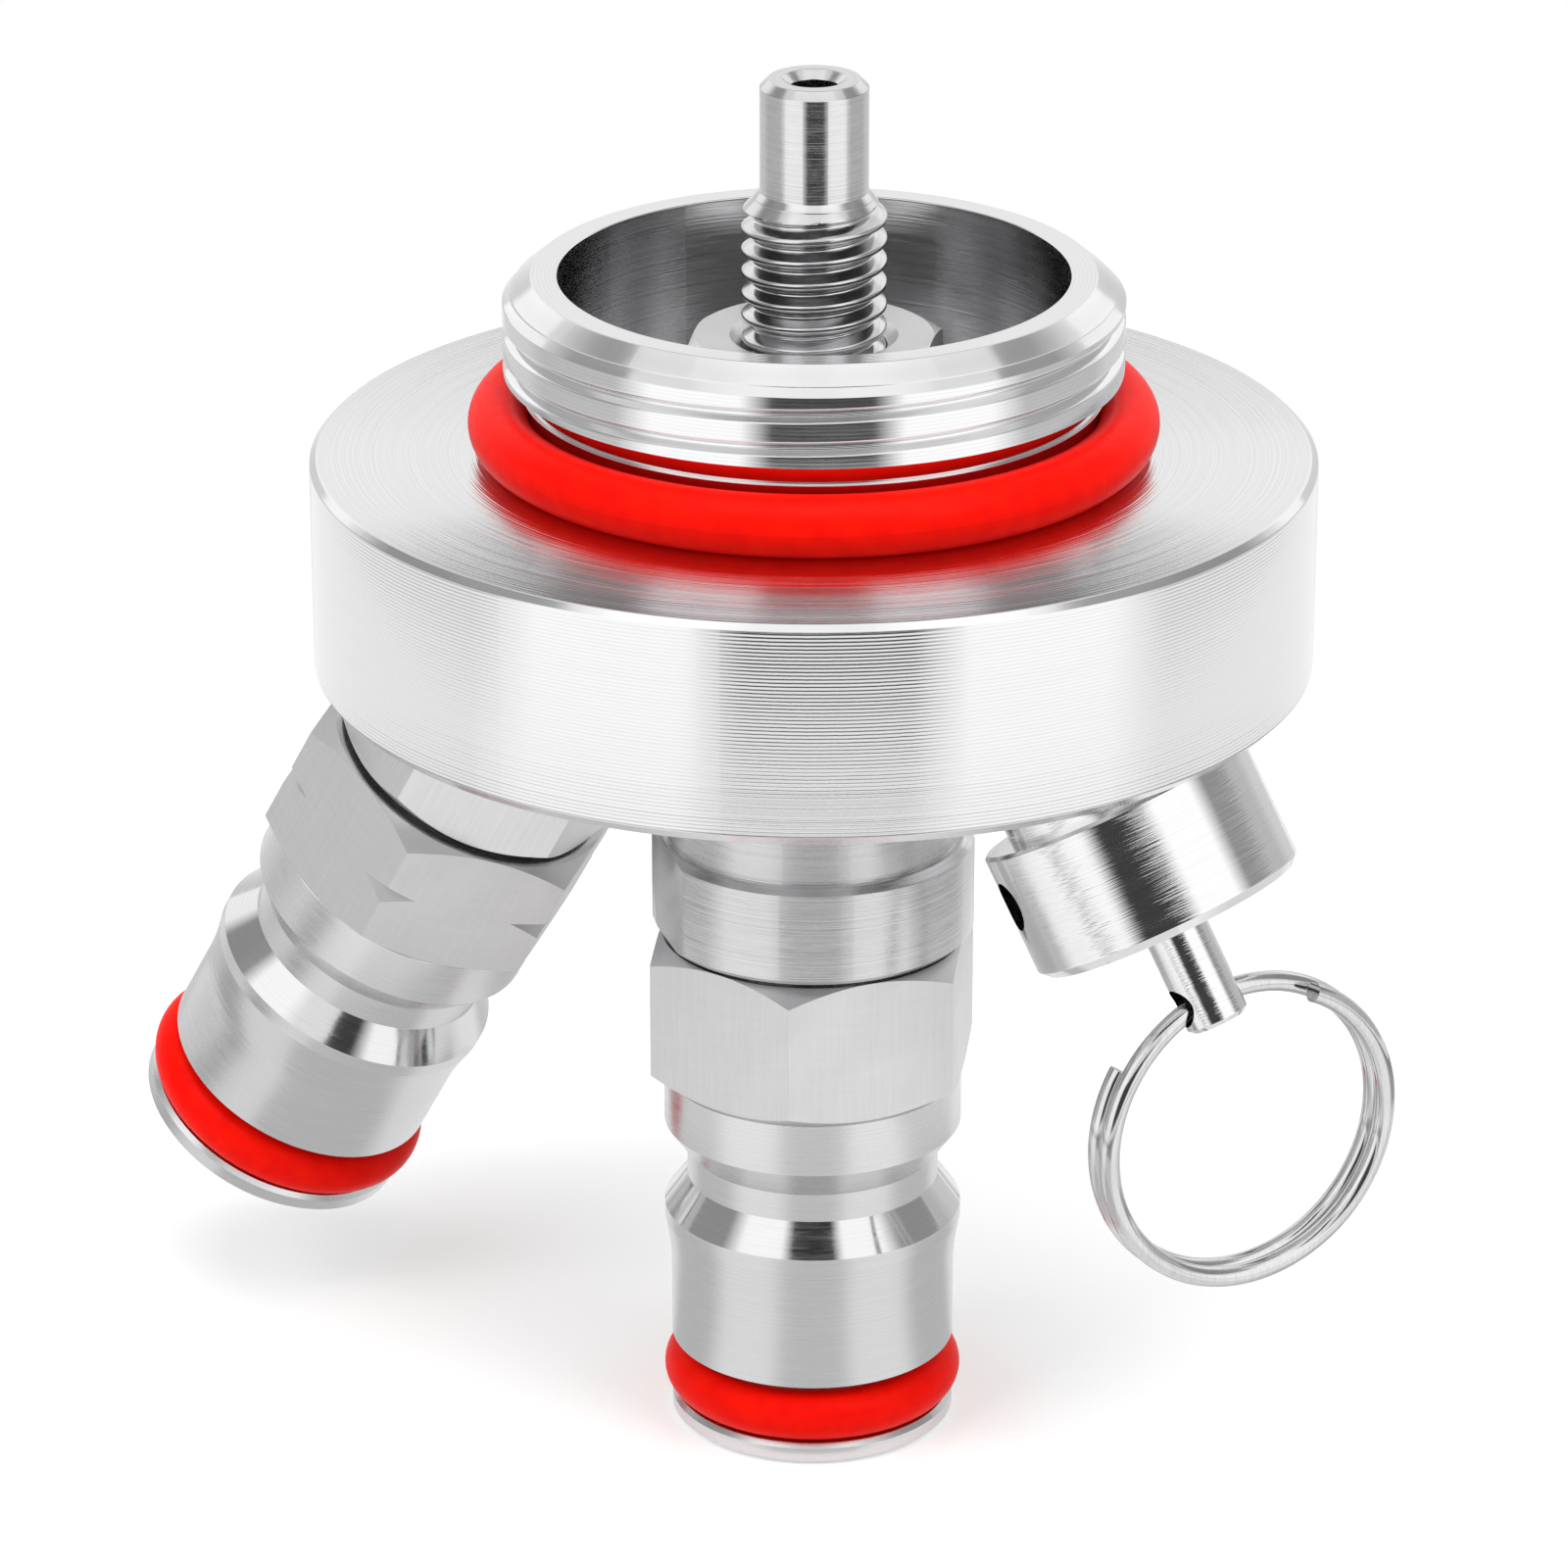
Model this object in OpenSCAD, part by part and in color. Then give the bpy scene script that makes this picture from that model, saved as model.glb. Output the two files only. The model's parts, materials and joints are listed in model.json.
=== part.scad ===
// Mini keg spear: a turned lid that screws into the neck of a small keg.
// It carries a liquid post on the axis, a gas post and a relief valve.
// Z points up out of the neck thread, the gas post leans to -X and the relief valve to +X.

/* [Lid] */
// Diameter of the lid
lid_d = 55; // [54:0.5:60]
// Thickness of the lid below its sealing face
lid_h = 12.3; // [11.5:0.1:15]
// Chamfer round the sealing face
top_edge = 0.35; // [0.1:0.05:0.8]
// Chamfer round the underside
foot_edge = 0.6; // [0.2:0.05:0.9]
// Depth of the cup floor below the sealing face
floor_drop = 1.2; // [0.6:0.1:2]

/* [Spigot] */
// Height of the spigot above the sealing face
spigot_h = 10; // [9.2:0.1:13]
// Bore of the spigot
bore_d = 27.8; // [26.5:0.1:28.6]
// Width of the flat lip
lip_w = 1.35; // [0.8:0.05:1.5]
// Height of the cone below the lip
lead_h = 1.25; // [0.8:0.05:1.8]
// Outside diameter of the neck thread
thread_d = 33.8; // [33.2:0.1:35]
// Length of the neck thread
thread_len = 3.6; // [2.5:0.1:3.8]
// Diameter of the relief below the neck thread
relief_d = 31.8; // [31.6:0.1:32.4]
// Diameter of the seat of the neck seal
seat_d = 31; // [30.4:0.1:31.4]
// Section of the neck seal
neck_seal_w = 3.35; // [2.4:0.05:3.6]

/* [Stem] */
// Outside diameter of the stem thread
stem_thread_d = 7.9; // [7.5:0.05:8]
// Height of the thread end above the sealing face
stem_thread_top = 13.7; // [11:0.1:18]
// Diameter of the hose tip
tip_d = 5.9; // [5:0.1:6.6]
// Height of the hose tip above its cone
tip_len = 6.2; // [4:0.1:12]
// Chamfer at the end of the hose tip
tip_edge = 0.45; // [0.2:0.05:0.8]
// Bore of the stem
stem_bore_d = 2.6; // [1.5:0.1:3]
// Countersink at the mouth of the stem
stem_mouth_d = 3.5; // [3.1:0.1:4.2]
// Hole through the lid for the stem
stem_hole_d = 8.4; // [8.2:0.1:9]
// Diameter of the neck under the lid
neck_d = 16.3; // [15:0.1:17]
// Length of the neck under the lid
neck_len = 10.3; // [6:0.1:16]
// Diameter of the collar
collar_d = 18.05; // [17.7:0.05:19]
// Height of the collar
collar_h = 5.65; // [4:0.05:9]
// Distance across the two collar flats
collar_af = 17; // [16.4:0.1:17.5]
// Turn of the collar flats about the axis
collar_turn = 48; // [0:1:180]

/* [Stem nut] */
// Distance across the flats of the nut
nut_af = 13; // [12.5:0.1:14]
// Height of the nut
nut_h = 6.5; // [4:0.1:8]
// Depth of the corner chamfer on the nut
nut_edge = 0.58; // [0.2:0.02:0.8]
// Countersink of the nut
nut_sink = 0.6; // [0.3:0.05:0.8]
// Turn of the nut about the axis
nut_turn = 51; // [0:1:60]
// Outside diameter of the washer
washer_d = 15; // [13:0.1:15.2]
// Thickness of the washer
washer_t = 1.2; // [0.6:0.1:1.6]

/* [Posts] */
// Distance across the flats of the post hex
post_af = 17; // [17:0.1:18]
// Height of the post hex
post_hex_h = 8.25; // [6:0.05:10]
// Depth of the corner chamfer on the post hex
post_edge = 0.8; // [0.4:0.05:1]
// Diameter of the shoulder and of the flare
shoulder_d = 16.8; // [16.5:0.05:16.8]
// Height of the shoulder below the hex
shoulder_h = 3.2; // [2:0.05:4]
// Diameter of the locking groove
groove_d = 14.2; // [13.6:0.1:15]
// Height of the straight part of the groove
groove_h = 1.65; // [1:0.05:3]
// Height of each cone beside the groove
flank_h = 1.78; // [1.2:0.02:2.4]
// Height of the land at the flare
land_h = 0.8; // [0.4:0.05:1.6]
// Height of the hollow taper below the flare
taper_h = 3; // [2:0.1:4]
// Diameter of the upper body
body_d = 16.05; // [15.4:0.05:16.3]
// Height of the upper body
body_h = 4.35; // [3:0.05:8]
// Outside diameter of the post ring seal
ring_seal_d = 16.9; // [16.6:0.02:16.92]
// Section of the post ring seal
ring_seal_w = 2.9; // [2.4:0.05:3]
// Room beside the ring seal in its groove
ring_play = 0.7; // [0.1:0.05:1]
// Height of the rim at the tip
rim_h = 1.25; // [0.8:0.05:2]
// Gap that the thread leaves above a post
post_gap = 0.3; // [0.1:0.05:0.6]
// Corner of the liquid post hex, as an angle about its axis
liquid_turn = 7; // [0:1:60]
// Corner of the gas post hex, as an angle about its axis
gas_turn = 15; // [0:1:60]
// Radius left at the notches that mark the gas post
notch_r = 9; // [8.8:0.05:9.4]
// Height of the notches at the hex corners
notch_h = 1.2; // [0.8:0.1:2]

/* [Post inside] */
// Thread bore of a post
post_bore_d = 13.4; // [12.8:0.1:13.6]
// Depth of the thread bore
post_bore_h = 10; // [8:0.1:10.6]
// Valve chamber of a post
chamber_d = 10; // [9.4:0.1:10.6]
// Hole at the tip of a post
mouth_d = 7; // [6:0.1:7.4]
// Wall at the tip from the rim face to the valve seat
mouth_len = 4.75; // [4:0.05:5.5]
// Play between a stub and the thread bore
stub_play = 0.1; // [0.05:0.01:0.15]
// Bore of a stub
stub_bore_d = 5; // [4:0.1:5.4]
// Section of the seal at the end of a stub
stub_seal_w = 1.5; // [1:0.1:1.6]

/* [Post valves] */
// Stroke of a post valve
valve_stroke = 3; // [2:0.1:3.4]
// Diameter of the valve pin
pin_d = 4.2; // [3.6:0.1:4.6]
// Depth of the pin below the tip
pin_drop = 0.65; // [0.2:0.05:1.2]
// Radial play of the valve guide in the chamber
guide_play = 0.05; // [0.02:0.01:0.1]
// Height of the valve guide
guide_h = 2.2; // [1.6:0.1:3]
// Height of the rubber on a valve
valve_rubber_h = 2.6; // [2:0.1:3.4]
// Gap at the valve seat
seat_gap = 0.05; // [0.02:0.01:0.1]
// Wire of the post valve springs
valve_wire = 0.8; // [0.5:0.05:1]
// Middle diameter of the post valve springs
valve_coil_d = 6.8; // [6.4:0.1:7.4]
// Turns of the post valve springs
valve_coils = 6; // [4:1:7]

/* [Ports] */
// Angle between a side port and the lid axis
tilt = 30; // [24:1:32]
// Distance of a side port from the lid axis at the underside
port_off = 16.4; // [16.2:0.1:17]
// Distance along a port from the underside to the fitting's shoulder
port_stand = 5; // [4.6:0.1:6]
// Diameter of the spot face in the lid
pocket_d = 12.6; // [11.6:0.1:12.8]
// Radial play of a fitting in its spot face
pocket_play = 0.2; // [0.1:0.05:0.3]
// Diameter of the port thread in the lid
port_thread_d = 10; // [9:0.1:10]
// Length of the port thread in the lid
port_thread_len = 5; // [3.5:0.1:5]
// Radial play of the port threads
port_play = 0.1; // [0.05:0.05:0.2]
// Passage from a port to the cup
passage_d = 3.6; // [2.5:0.1:3.8]
// Thickness of a port seal
port_seal_t = 1; // [0.6:0.1:1.2]
// Distance across the flats of the gas adapter
adapter_af = 16; // [15:0.1:16.4]
// Height of the hex of the gas adapter
adapter_h = 7.3; // [5:0.1:12]
// Depth of the corner chamfer on the gas adapter
adapter_edge = 1.2; // [0.6:0.1:1.4]
// Corner of the gas adapter hex, as an angle about its axis
adapter_turn = 28; // [0:1:60]

/* [Relief valve] */
// Diameter of the relief valve body
valve_d = 15.5; // [14.5:0.1:16]
// Height of the relief valve body
valve_h = 7.4; // [6.4:0.1:11]
// Chamfer at the outer end of the body
valve_edge = 0.5; // [0.2:0.05:0.8]
// Chamber of the relief valve
relief_chamber_d = 8.6; // [8.2:0.1:9]
// Depth of the chamber floor below the fitting's shoulder
relief_depth = 6.6; // [5.6:0.1:6.8]
// Height of the seat nozzle above the chamber floor
nozzle_h = 0.6; // [0.4:0.1:1]
// Inlet hole of the relief valve
inlet_d = 4; // [3:0.1:4.4]
// Diameter of the screwed cap
cap_d = 11; // [10:0.1:11.6]
// Thickness of the screwed cap
cap_t = 2.5; // [1.8:0.1:3]
// Radial play of the screwed cap
cap_play = 0.05; // [0.03:0.01:0.1]
// Depth of the cap's face below the end of the body
cap_sink = 0.1; // [0:0.05:0.3]
// Vent holes in the side of the body
vent_d = 2.85; // [2:0.05:3.2]
// Distance of the vent holes below the body's shoulder
vent_drop = 2.9; // [2.2:0.1:3.2]
// Direction of the vent holes about the valve axis
vent_turn = 312; // [0:1:360]
// Diameter of the pull stem
pull_d = 3.6; // [3.2:0.1:4]
// Length of the pull stem outside the cap
pull_len = 6.2; // [5.4:0.1:10]
// Radial play of the pull stem in the cap
pull_play = 0.06; // [0.03:0.01:0.1]
// Travel of the pull stem
pull_stroke = 1.8; // [1:0.1:2.4]
// Thickness of the rubber disc under the pull stem
disc_t = 1.6; // [1:0.1:2]
// Diameter of the foot of the pull stem
foot_d = 7.2; // [6.6:0.1:7.8]
// Thickness of the foot of the pull stem
foot_t = 1.2; // [0.8:0.1:1.6]
// Wall of the sleeve that guides and stops the pull stem
sleeve_wall = 0.45; // [0.3:0.05:0.6]
// Wire of the relief spring
relief_wire = 0.7; // [0.5:0.05:0.8]
// Radial room of the relief spring round the sleeve
relief_room = 0.3; // [0.2:0.05:0.4]
// Turns of the relief spring
relief_coils = 6; // [4:1:6]

/* [Pull ring] */
// Cross hole in the pull stem
cross_d = 2.2; // [2:0.1:2.4]
// Distance of the cross hole from the end of the stem
cross_drop = 1.6; // [1.4:0.1:2.4]
// Direction of the cross hole about the valve axis
cross_turn = 35; // [20:1:50]
// Outside diameter of the split ring
ring_d = 18.4; // [16:0.1:24]
// Wire of the split ring
ring_wire = 1.15; // [0.9:0.05:1.2]
// Turns of wire in the split ring
ring_turns = 1.77; // [1.55:0.01:1.95]

/* [Hidden] */
$fn = 96;

steel = [0.80, 0.81, 0.82];
polished = [0.88, 0.89, 0.90];
red_rubber = [0.86, 0.07, 0.04];
black_rubber = [0.12, 0.12, 0.13];
spring_steel = [0.62, 0.63, 0.65];

// Small edge breaks and the play that keeps touching rings apart
edge = 0.3;
touch = 0.02;
stop_gap = 0.1;

// Levels of the spigot above the sealing face
run_out = 0.35;
thread_top = spigot_h - lead_h - run_out;
thread_low = thread_top - thread_len;
thread_mid = (thread_top + thread_low) / 2;
lip_r = bore_d / 2 + lip_w;

// Levels of the stem, all from the sealing face
tip_low = stem_thread_top + (stem_thread_d - tip_d) / 2;
tip_top = tip_low + tip_len;
nut_low = washer_t - floor_drop;
collar_top = -lid_h - neck_len;
collar_low = collar_top - collar_h;

// Levels of a post, down from the top of its hex
shoulder_low = post_hex_h + shoulder_h;
groove_top = shoulder_low + flank_h;
groove_low = groove_top + groove_h;
flare_top = groove_low + flank_h;
taper_top = flare_top + land_h;
body_top = taper_top + taper_h;
seal_top = body_top + body_h;
rim_top = seal_top + ring_seal_w + ring_play;
post_h = rim_top + rim_h;
chamber_end = post_h - mouth_len - (chamber_d - mouth_d) / 2;
stub_h = post_bore_h - stub_seal_w - 2 * touch;

// Levels of a post valve, down from the top of the post hex
rubber_r = chamber_d / 2 - 0.4;
rubber_end = chamber_end + (chamber_d - mouth_d) / 2 - 0.7;
rubber_top = rubber_end - valve_rubber_h;
guide_top = rubber_top - guide_h;
tail_top = stub_h + valve_stroke + 2;

// Levels of a port, out along its axis from the underside of the lid
pocket_floor = -pocket_d / 2 * tan(tilt) - 0.2;
neck_floor = pocket_floor + port_seal_t;
thread_end = pocket_floor - port_thread_len;
adapter_low = port_stand + adapter_h;
valve_low = port_stand + valve_h;
port_neck_d = pocket_d - 2 * pocket_play;

// Levels of the relief valve, out along its port
chamber_floor = port_stand - relief_depth;
disc_top = chamber_floor + nozzle_h + seat_gap;
foot_top = disc_top + disc_t;
foot_low = foot_top + foot_t;
cap_top = valve_low - cap_t;
sleeve_top = foot_low + pull_stroke + stop_gap;
guide_bore = pull_d + 2 * pull_play;
sleeve_d = guide_bore + 2 * sleeve_wall;
pull_end = valve_low + pull_len;
cross_at = pull_end - cross_drop;

// Directions at the cross hole, in the frame of the lid
cross_dir = [sin(cross_turn) * cos(tilt), cos(cross_turn), sin(cross_turn) * sin(tilt)];
hang_raw = [0, 0, -1] + cross_dir[2] * cross_dir;
hang_dir = hang_raw / norm(hang_raw);
ring_normal = cross(hang_dir, cross_dir);
ring_r = (ring_d - ring_wire) / 2;
ring_drop = cross_d / 2 - ring_wire / 2 - pow(pull_d / 2, 2) / (2 * ring_r) - 0.08;
cross_point = [port_off + cross_at * sin(tilt), 0, -lid_h - cross_at * cos(tilt)];
hang_point = cross_point + ring_drop * hang_dir;

// Places a part whose levels are measured from the sealing face
module from_face() {
    translate([0, 0, -thread_mid]) children();
}

// Turns a part so that its own +Z runs out and down along a side port
module port(side) {
    from_face()
        rotate([0, 0, side])
            translate([port_off, 0, -lid_h])
                rotate([0, 180 - tilt, 0])
                    children();
}

// Places a post under the collar of the stem, its own +Z down
module liquid_place() {
    from_face()
        translate([0, 0, collar_low - post_gap])
            rotate([180, 0, 0])
                children();
}

// Places a post under the gas adapter, its own +Z out along the port
module gas_place() {
    port(180)
        translate([0, 0, adapter_low + post_gap])
            children();
}

module turned(outline) {
    rotate_extrude() polygon(outline);
}

module tube(outer_d, inner_d, h) {
    difference() {
        cylinder(d = outer_d, h = h);
        translate([0, 0, -1]) cylinder(d = inner_d, h = h + 2);
    }
}

module torus(outer_d, w) {
    rotate_extrude() translate([outer_d / 2 - w / 2, 0]) circle(d = w, $fn = 48);
}

// Hexagonal bar whose corners are turned away at both ends
module hex_bar(af, h, top_cut, low_cut) {
    corner = af / sqrt(3);
    reach = corner - af / 2;
    intersection() {
        cylinder(r = corner, h = h, $fn = 6);
        turned([
            [0, 0], [corner - reach, 0], [corner + 0.1, top_cut * (1 + 0.1 / reach)],
            [corner + 0.1, h - low_cut * (1 + 0.1 / reach)], [corner - reach, h], [0, h]
        ]);
    }
}

// Height above its first turn centre that a spring's wire has after a number of turns
function coil_rise(turn, turns, wire, pitch) =
    turn < 1 ? turn * wire
    : turn < turns - 1 ? wire + (turn - 1) * pitch
    : wire + (turns - 2) * pitch + (turn - turns + 1) * wire;

// Compression spring with a closed turn at each end, standing on z = 0
module spring(coil_d, wire, turns, h) {
    sides = 6;
    steps = 16;
    count = turns * steps;
    pitch = (h - 3 * wire) / (turns - 2);
    points = [
        for (i = [0:count], j = [0:sides - 1])
            let (a = 360 * i / steps, b = 360 * j / sides, r = coil_d / 2 + wire / 2 * cos(b))
                [
                    r * cos(a),
                    r * sin(a),
                    wire / 2 + coil_rise(i / steps, turns, wire, pitch) + wire / 2 * sin(b)
                ]
    ];
    wire_skin(points, count, sides);
}

// Skin over rings of points, with a flat cap at each end
module wire_skin(points, count, sides) {
    walls = [
        for (i = [0:count - 1], j = [0:sides - 1])
            let (k = (j + 1) % sides)
                [i * sides + j, i * sides + k, (i + 1) * sides + k, (i + 1) * sides + j]
    ];
    first = [for (j = [0:sides - 1]) sides - 1 - j];
    last = [for (j = [0:sides - 1]) count * sides + j];
    polyhedron(points, concat([first], walls, [last]), convexity = 10);
}

// Bores that lead a side port into the cup
module port_cut(side) {
    reach = (lid_h - floor_drop) / cos(tilt) + passage_d;
    port(side) {
        translate([0, 0, pocket_floor]) cylinder(d = pocket_d, h = pocket_d);
        translate([0, 0, thread_end]) cylinder(d = port_thread_d, h = port_thread_len + 1);
        translate([0, 0, -reach]) cylinder(d = passage_d, h = reach);
    }
}

module lid() {
    thread_flank = (thread_d - relief_d) / 4;
    color(steel)
        difference() {
            from_face()
                turned([
                    [stem_hole_d / 2, -lid_h],
                    [lid_d / 2 - foot_edge, -lid_h],
                    [lid_d / 2, -lid_h + foot_edge],
                    [lid_d / 2, -top_edge],
                    [lid_d / 2 - top_edge, 0],
                    [seat_d / 2, 0],
                    [seat_d / 2, neck_seal_w],
                    [relief_d / 2, neck_seal_w],
                    [relief_d / 2, thread_low - thread_flank],
                    [thread_d / 2, thread_low],
                    [thread_d / 2, thread_top],
                    [relief_d / 2, thread_top + run_out],
                    [lip_r, spigot_h],
                    [bore_d / 2, spigot_h],
                    [bore_d / 2, -floor_drop],
                    [stem_hole_d / 2, -floor_drop]
                ]);
            port_cut(0);
            port_cut(180);
        }
}

module neck_seal() {
    color(red_rubber)
        from_face()
            translate([0, 0, neck_seal_w / 2])
                torus(seat_d + 2 * neck_seal_w, neck_seal_w);
}

// Axis of the face seal between the neck and the lid
face_seal_w = 1.3;
face_seal_d = neck_d - 2.4;
stub_d = post_bore_d - 2 * stub_play;

module liquid_stem() {
    mouth_cut = (stem_mouth_d - stem_bore_d) / 2;
    stub_low = collar_low - post_gap - stub_h;
    color(steel)
        from_face()
            difference() {
                turned([
                    [0, tip_top], [tip_d / 2 - tip_edge, tip_top],
                    [tip_d / 2, tip_top - tip_edge],
                    [tip_d / 2, tip_low], [stem_thread_d / 2, stem_thread_top],
                    [stem_thread_d / 2, -lid_h], [neck_d / 2, -lid_h],
                    [neck_d / 2, collar_top], [collar_d / 2 - 2 * edge, collar_top],
                    [collar_d / 2, collar_top - edge], [collar_d / 2, collar_low + edge],
                    [collar_d / 2 - edge, collar_low], [stub_d / 2, collar_low],
                    [stub_d / 2, stub_low + edge], [stub_d / 2 - edge, stub_low],
                    [0, stub_low]
                ]);
                translate([0, 0, -lid_h - face_seal_w])
                    tube(face_seal_d, face_seal_d - 2 * face_seal_w, face_seal_w + 0.01);
                for (side = [0, 180])
                    rotate([0, 0, collar_turn + side])
                        translate([collar_af / 2, -collar_d / 2, collar_low - 0.01])
                            cube([collar_d, collar_d, collar_h + 0.02]);
                translate([0, 0, stub_low - 1])
                    cylinder(d = stem_bore_d, h = tip_top - stub_low + 2);
                translate([0, 0, stub_low - 1])
                    cylinder(d = stub_bore_d, h = collar_top - collar_h / 2 - stub_low + 1);
                translate([0, 0, tip_top - mouth_cut])
                    cylinder(d1 = stem_bore_d, d2 = stem_mouth_d + 0.02, h = mouth_cut + 0.01);
            }
}

module stem_seal() {
    color(black_rubber)
        from_face()
            translate([0, 0, -lid_h - face_seal_w / 2])
                torus(face_seal_d - 2 * touch, face_seal_w - 2 * touch);
}

module stem_washer() {
    color(steel)
        from_face()
            translate([0, 0, -floor_drop])
                tube(washer_d, stem_thread_d + 0.4, washer_t);
}

module stem_nut() {
    hole_d = stem_thread_d + 0.1;
    color(steel)
        from_face()
            translate([0, 0, nut_low])
                difference() {
                    rotate([0, 0, nut_turn]) hex_bar(nut_af, nut_h, nut_edge, nut_edge);
                    translate([0, 0, -1]) cylinder(d = hole_d, h = nut_h + 2);
                    translate([0, 0, -0.01])
                        cylinder(d1 = hole_d + 2 * nut_sink, d2 = hole_d, h = nut_sink);
                    translate([0, 0, nut_h - nut_sink + 0.01])
                        cylinder(d1 = hole_d, d2 = hole_d + 2 * nut_sink, h = nut_sink);
                }
}

// Outside of a post from the shoulder down to the tip, its own +Z down
module post_barrel() {
    seal_floor = ring_seal_d / 2 - ring_seal_w;
    taper_drop = (shoulder_d - body_d) / 2;
    taper = [
        for (i = [1:6])
            [shoulder_d / 2 - taper_drop * sin(15 * i), taper_top + taper_h * i / 6]
    ];
    turned(concat(
        [
            [0, post_hex_h - 1], [shoulder_d / 2 - 0.2, post_hex_h - 1],
            [shoulder_d / 2 - 0.2, post_hex_h], [shoulder_d / 2, post_hex_h + 0.2],
            [shoulder_d / 2, shoulder_low], [groove_d / 2, groove_top],
            [groove_d / 2, groove_low], [shoulder_d / 2, flare_top],
            [shoulder_d / 2, taper_top]
        ],
        taper,
        [
            [body_d / 2, seal_top], [seal_floor, seal_top], [seal_floor, rim_top],
            [body_d / 2 - 0.25, rim_top], [body_d / 2, rim_top + 0.25],
            [body_d / 2, post_h - edge], [body_d / 2 - edge, post_h], [0, post_h]
        ]
    ));
}

// Thread bore, valve chamber, seat and mouth of a post
module post_bore() {
    seat_low = chamber_end + (chamber_d - mouth_d) / 2;
    turned([
        [0, -1], [post_bore_d / 2, -1], [post_bore_d / 2, post_bore_h],
        [chamber_d / 2, post_bore_h], [chamber_d / 2, chamber_end],
        [mouth_d / 2, seat_low], [mouth_d / 2, post_h - edge],
        [mouth_d / 2 + edge + 0.01, post_h + 0.01], [mouth_d / 2 + edge, post_h + 1],
        [0, post_h + 1]
    ]);
}

// Ball lock post with its hex turned by an angle; the gas post has notched corners
module post(turn, notched) {
    corner = post_af / sqrt(3);
    color(steel)
        difference() {
            union() {
                rotate([0, 0, turn]) hex_bar(post_af, post_hex_h, post_edge, post_edge);
                post_barrel();
            }
            post_bore();
            if (notched)
                turned([
                    [notch_r, post_hex_h / 2],
                    [corner + 0.1, post_hex_h / 2 - notch_h * 0.55],
                    [corner + 0.1, post_hex_h / 2 + notch_h * 0.55]
                ]);
        }
}

// Ring seal of a post, resting on the rim side of its groove
module post_ring_seal() {
    color(red_rubber)
        translate([0, 0, rim_top - ring_seal_w / 2])
            torus(ring_seal_d, ring_seal_w);
}

// Seal between the end of a stub and the step in the thread bore
module stub_seal() {
    color(black_rubber)
        translate([0, 0, stub_h + touch + stub_seal_w / 2])
            torus(stub_d, stub_seal_w);
}

// Valve pin with its guide and spring tail
module post_valve() {
    guide_r = chamber_d / 2 - guide_play;
    color(steel)
        difference() {
            turned([
                [0, tail_top], [1.6, tail_top], [2, tail_top + 0.4], [2, guide_top],
                [guide_r - edge, guide_top], [guide_r, guide_top + edge],
                [guide_r, rubber_top - edge], [guide_r - edge, rubber_top],
                [pin_d / 2, rubber_top], [pin_d / 2, post_h - pin_drop - 0.5],
                [pin_d / 2 - 0.5, post_h - pin_drop], [0, post_h - pin_drop]
            ]);
            for (a = [0, 120, 240])
                rotate([0, 0, a])
                    translate([guide_r + 0.6, 0, guide_top - 1])
                        cylinder(r = 1.7, h = guide_h + 2, $fn = 48);
        }
}

// Rubber of a post valve, its cone parallel to the seat
module post_valve_rubber() {
    slack = seat_gap * sqrt(2);
    cone_top = chamber_end + chamber_d / 2 - rubber_r - slack;
    end_r = chamber_d / 2 - slack - (rubber_end - chamber_end);
    color(black_rubber)
        turned([
            [pin_d / 2, rubber_top], [rubber_r, rubber_top], [rubber_r, cone_top],
            [end_r, rubber_end], [pin_d / 2, rubber_end]
        ]);
}

module post_spring() {
    color(spring_steel)
        translate([0, 0, stub_h + touch])
            spring(valve_coil_d, valve_wire, valve_coils, guide_top - stub_h - 2 * touch);
}

module liquid_post() {
    liquid_place() post(liquid_turn, false);
}

module liquid_ring_seal() {
    liquid_place() post_ring_seal();
}

module liquid_stub_seal() {
    liquid_place() stub_seal();
}

module liquid_valve() {
    liquid_place() post_valve();
}

module liquid_valve_rubber() {
    liquid_place() post_valve_rubber();
}

module liquid_spring() {
    liquid_place() post_spring();
}

// Screwed neck that a side fitting puts into its spot face
module port_neck(bore) {
    screw_r = port_thread_d / 2 - port_play;
    difference() {
        turned([
            [0, thread_end + 0.3], [screw_r - 0.5, thread_end + 0.3],
            [screw_r, thread_end + 0.8], [screw_r, neck_floor],
            [port_neck_d / 2, neck_floor], [port_neck_d / 2, port_stand + 0.5],
            [0, port_stand + 0.5]
        ]);
        translate([0, 0, thread_end]) cylinder(d = bore, h = port_stand - thread_end + 1);
    }
}

module gas_adapter() {
    stub_low = adapter_low + post_gap + stub_h;
    color(steel)
        port(180)
            difference() {
                union() {
                    port_neck(stub_bore_d);
                    translate([0, 0, port_stand])
                        rotate([0, 0, adapter_turn])
                            hex_bar(adapter_af, adapter_h, adapter_edge, adapter_edge);
                    translate([0, 0, adapter_low - 1])
                        turned([
                            [0, 0], [stub_d / 2, 0],
                            [stub_d / 2, stub_low - adapter_low + 1 - edge],
                            [stub_d / 2 - edge, stub_low - adapter_low + 1],
                            [0, stub_low - adapter_low + 1]
                        ]);
                }
                translate([0, 0, thread_end - 1])
                    cylinder(d = stub_bore_d, h = stub_low - thread_end + 2);
            }
}

// Flat seal between a fitting's neck and the floor of its spot face
module port_seal() {
    color(black_rubber)
        translate([0, 0, pocket_floor + touch])
            tube(port_neck_d, port_thread_d + 0.1, port_seal_t - 2 * touch);
}

module gas_port_seal() {
    port(180) port_seal();
}

module gas_post() {
    gas_place() post(gas_turn, true);
}

module gas_ring_seal() {
    gas_place() post_ring_seal();
}

module gas_stub_seal() {
    gas_place() stub_seal();
}

module gas_valve() {
    gas_place() post_valve();
}

module gas_valve_rubber() {
    gas_place() post_valve_rubber();
}

module gas_spring() {
    gas_place() post_spring();
}

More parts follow.
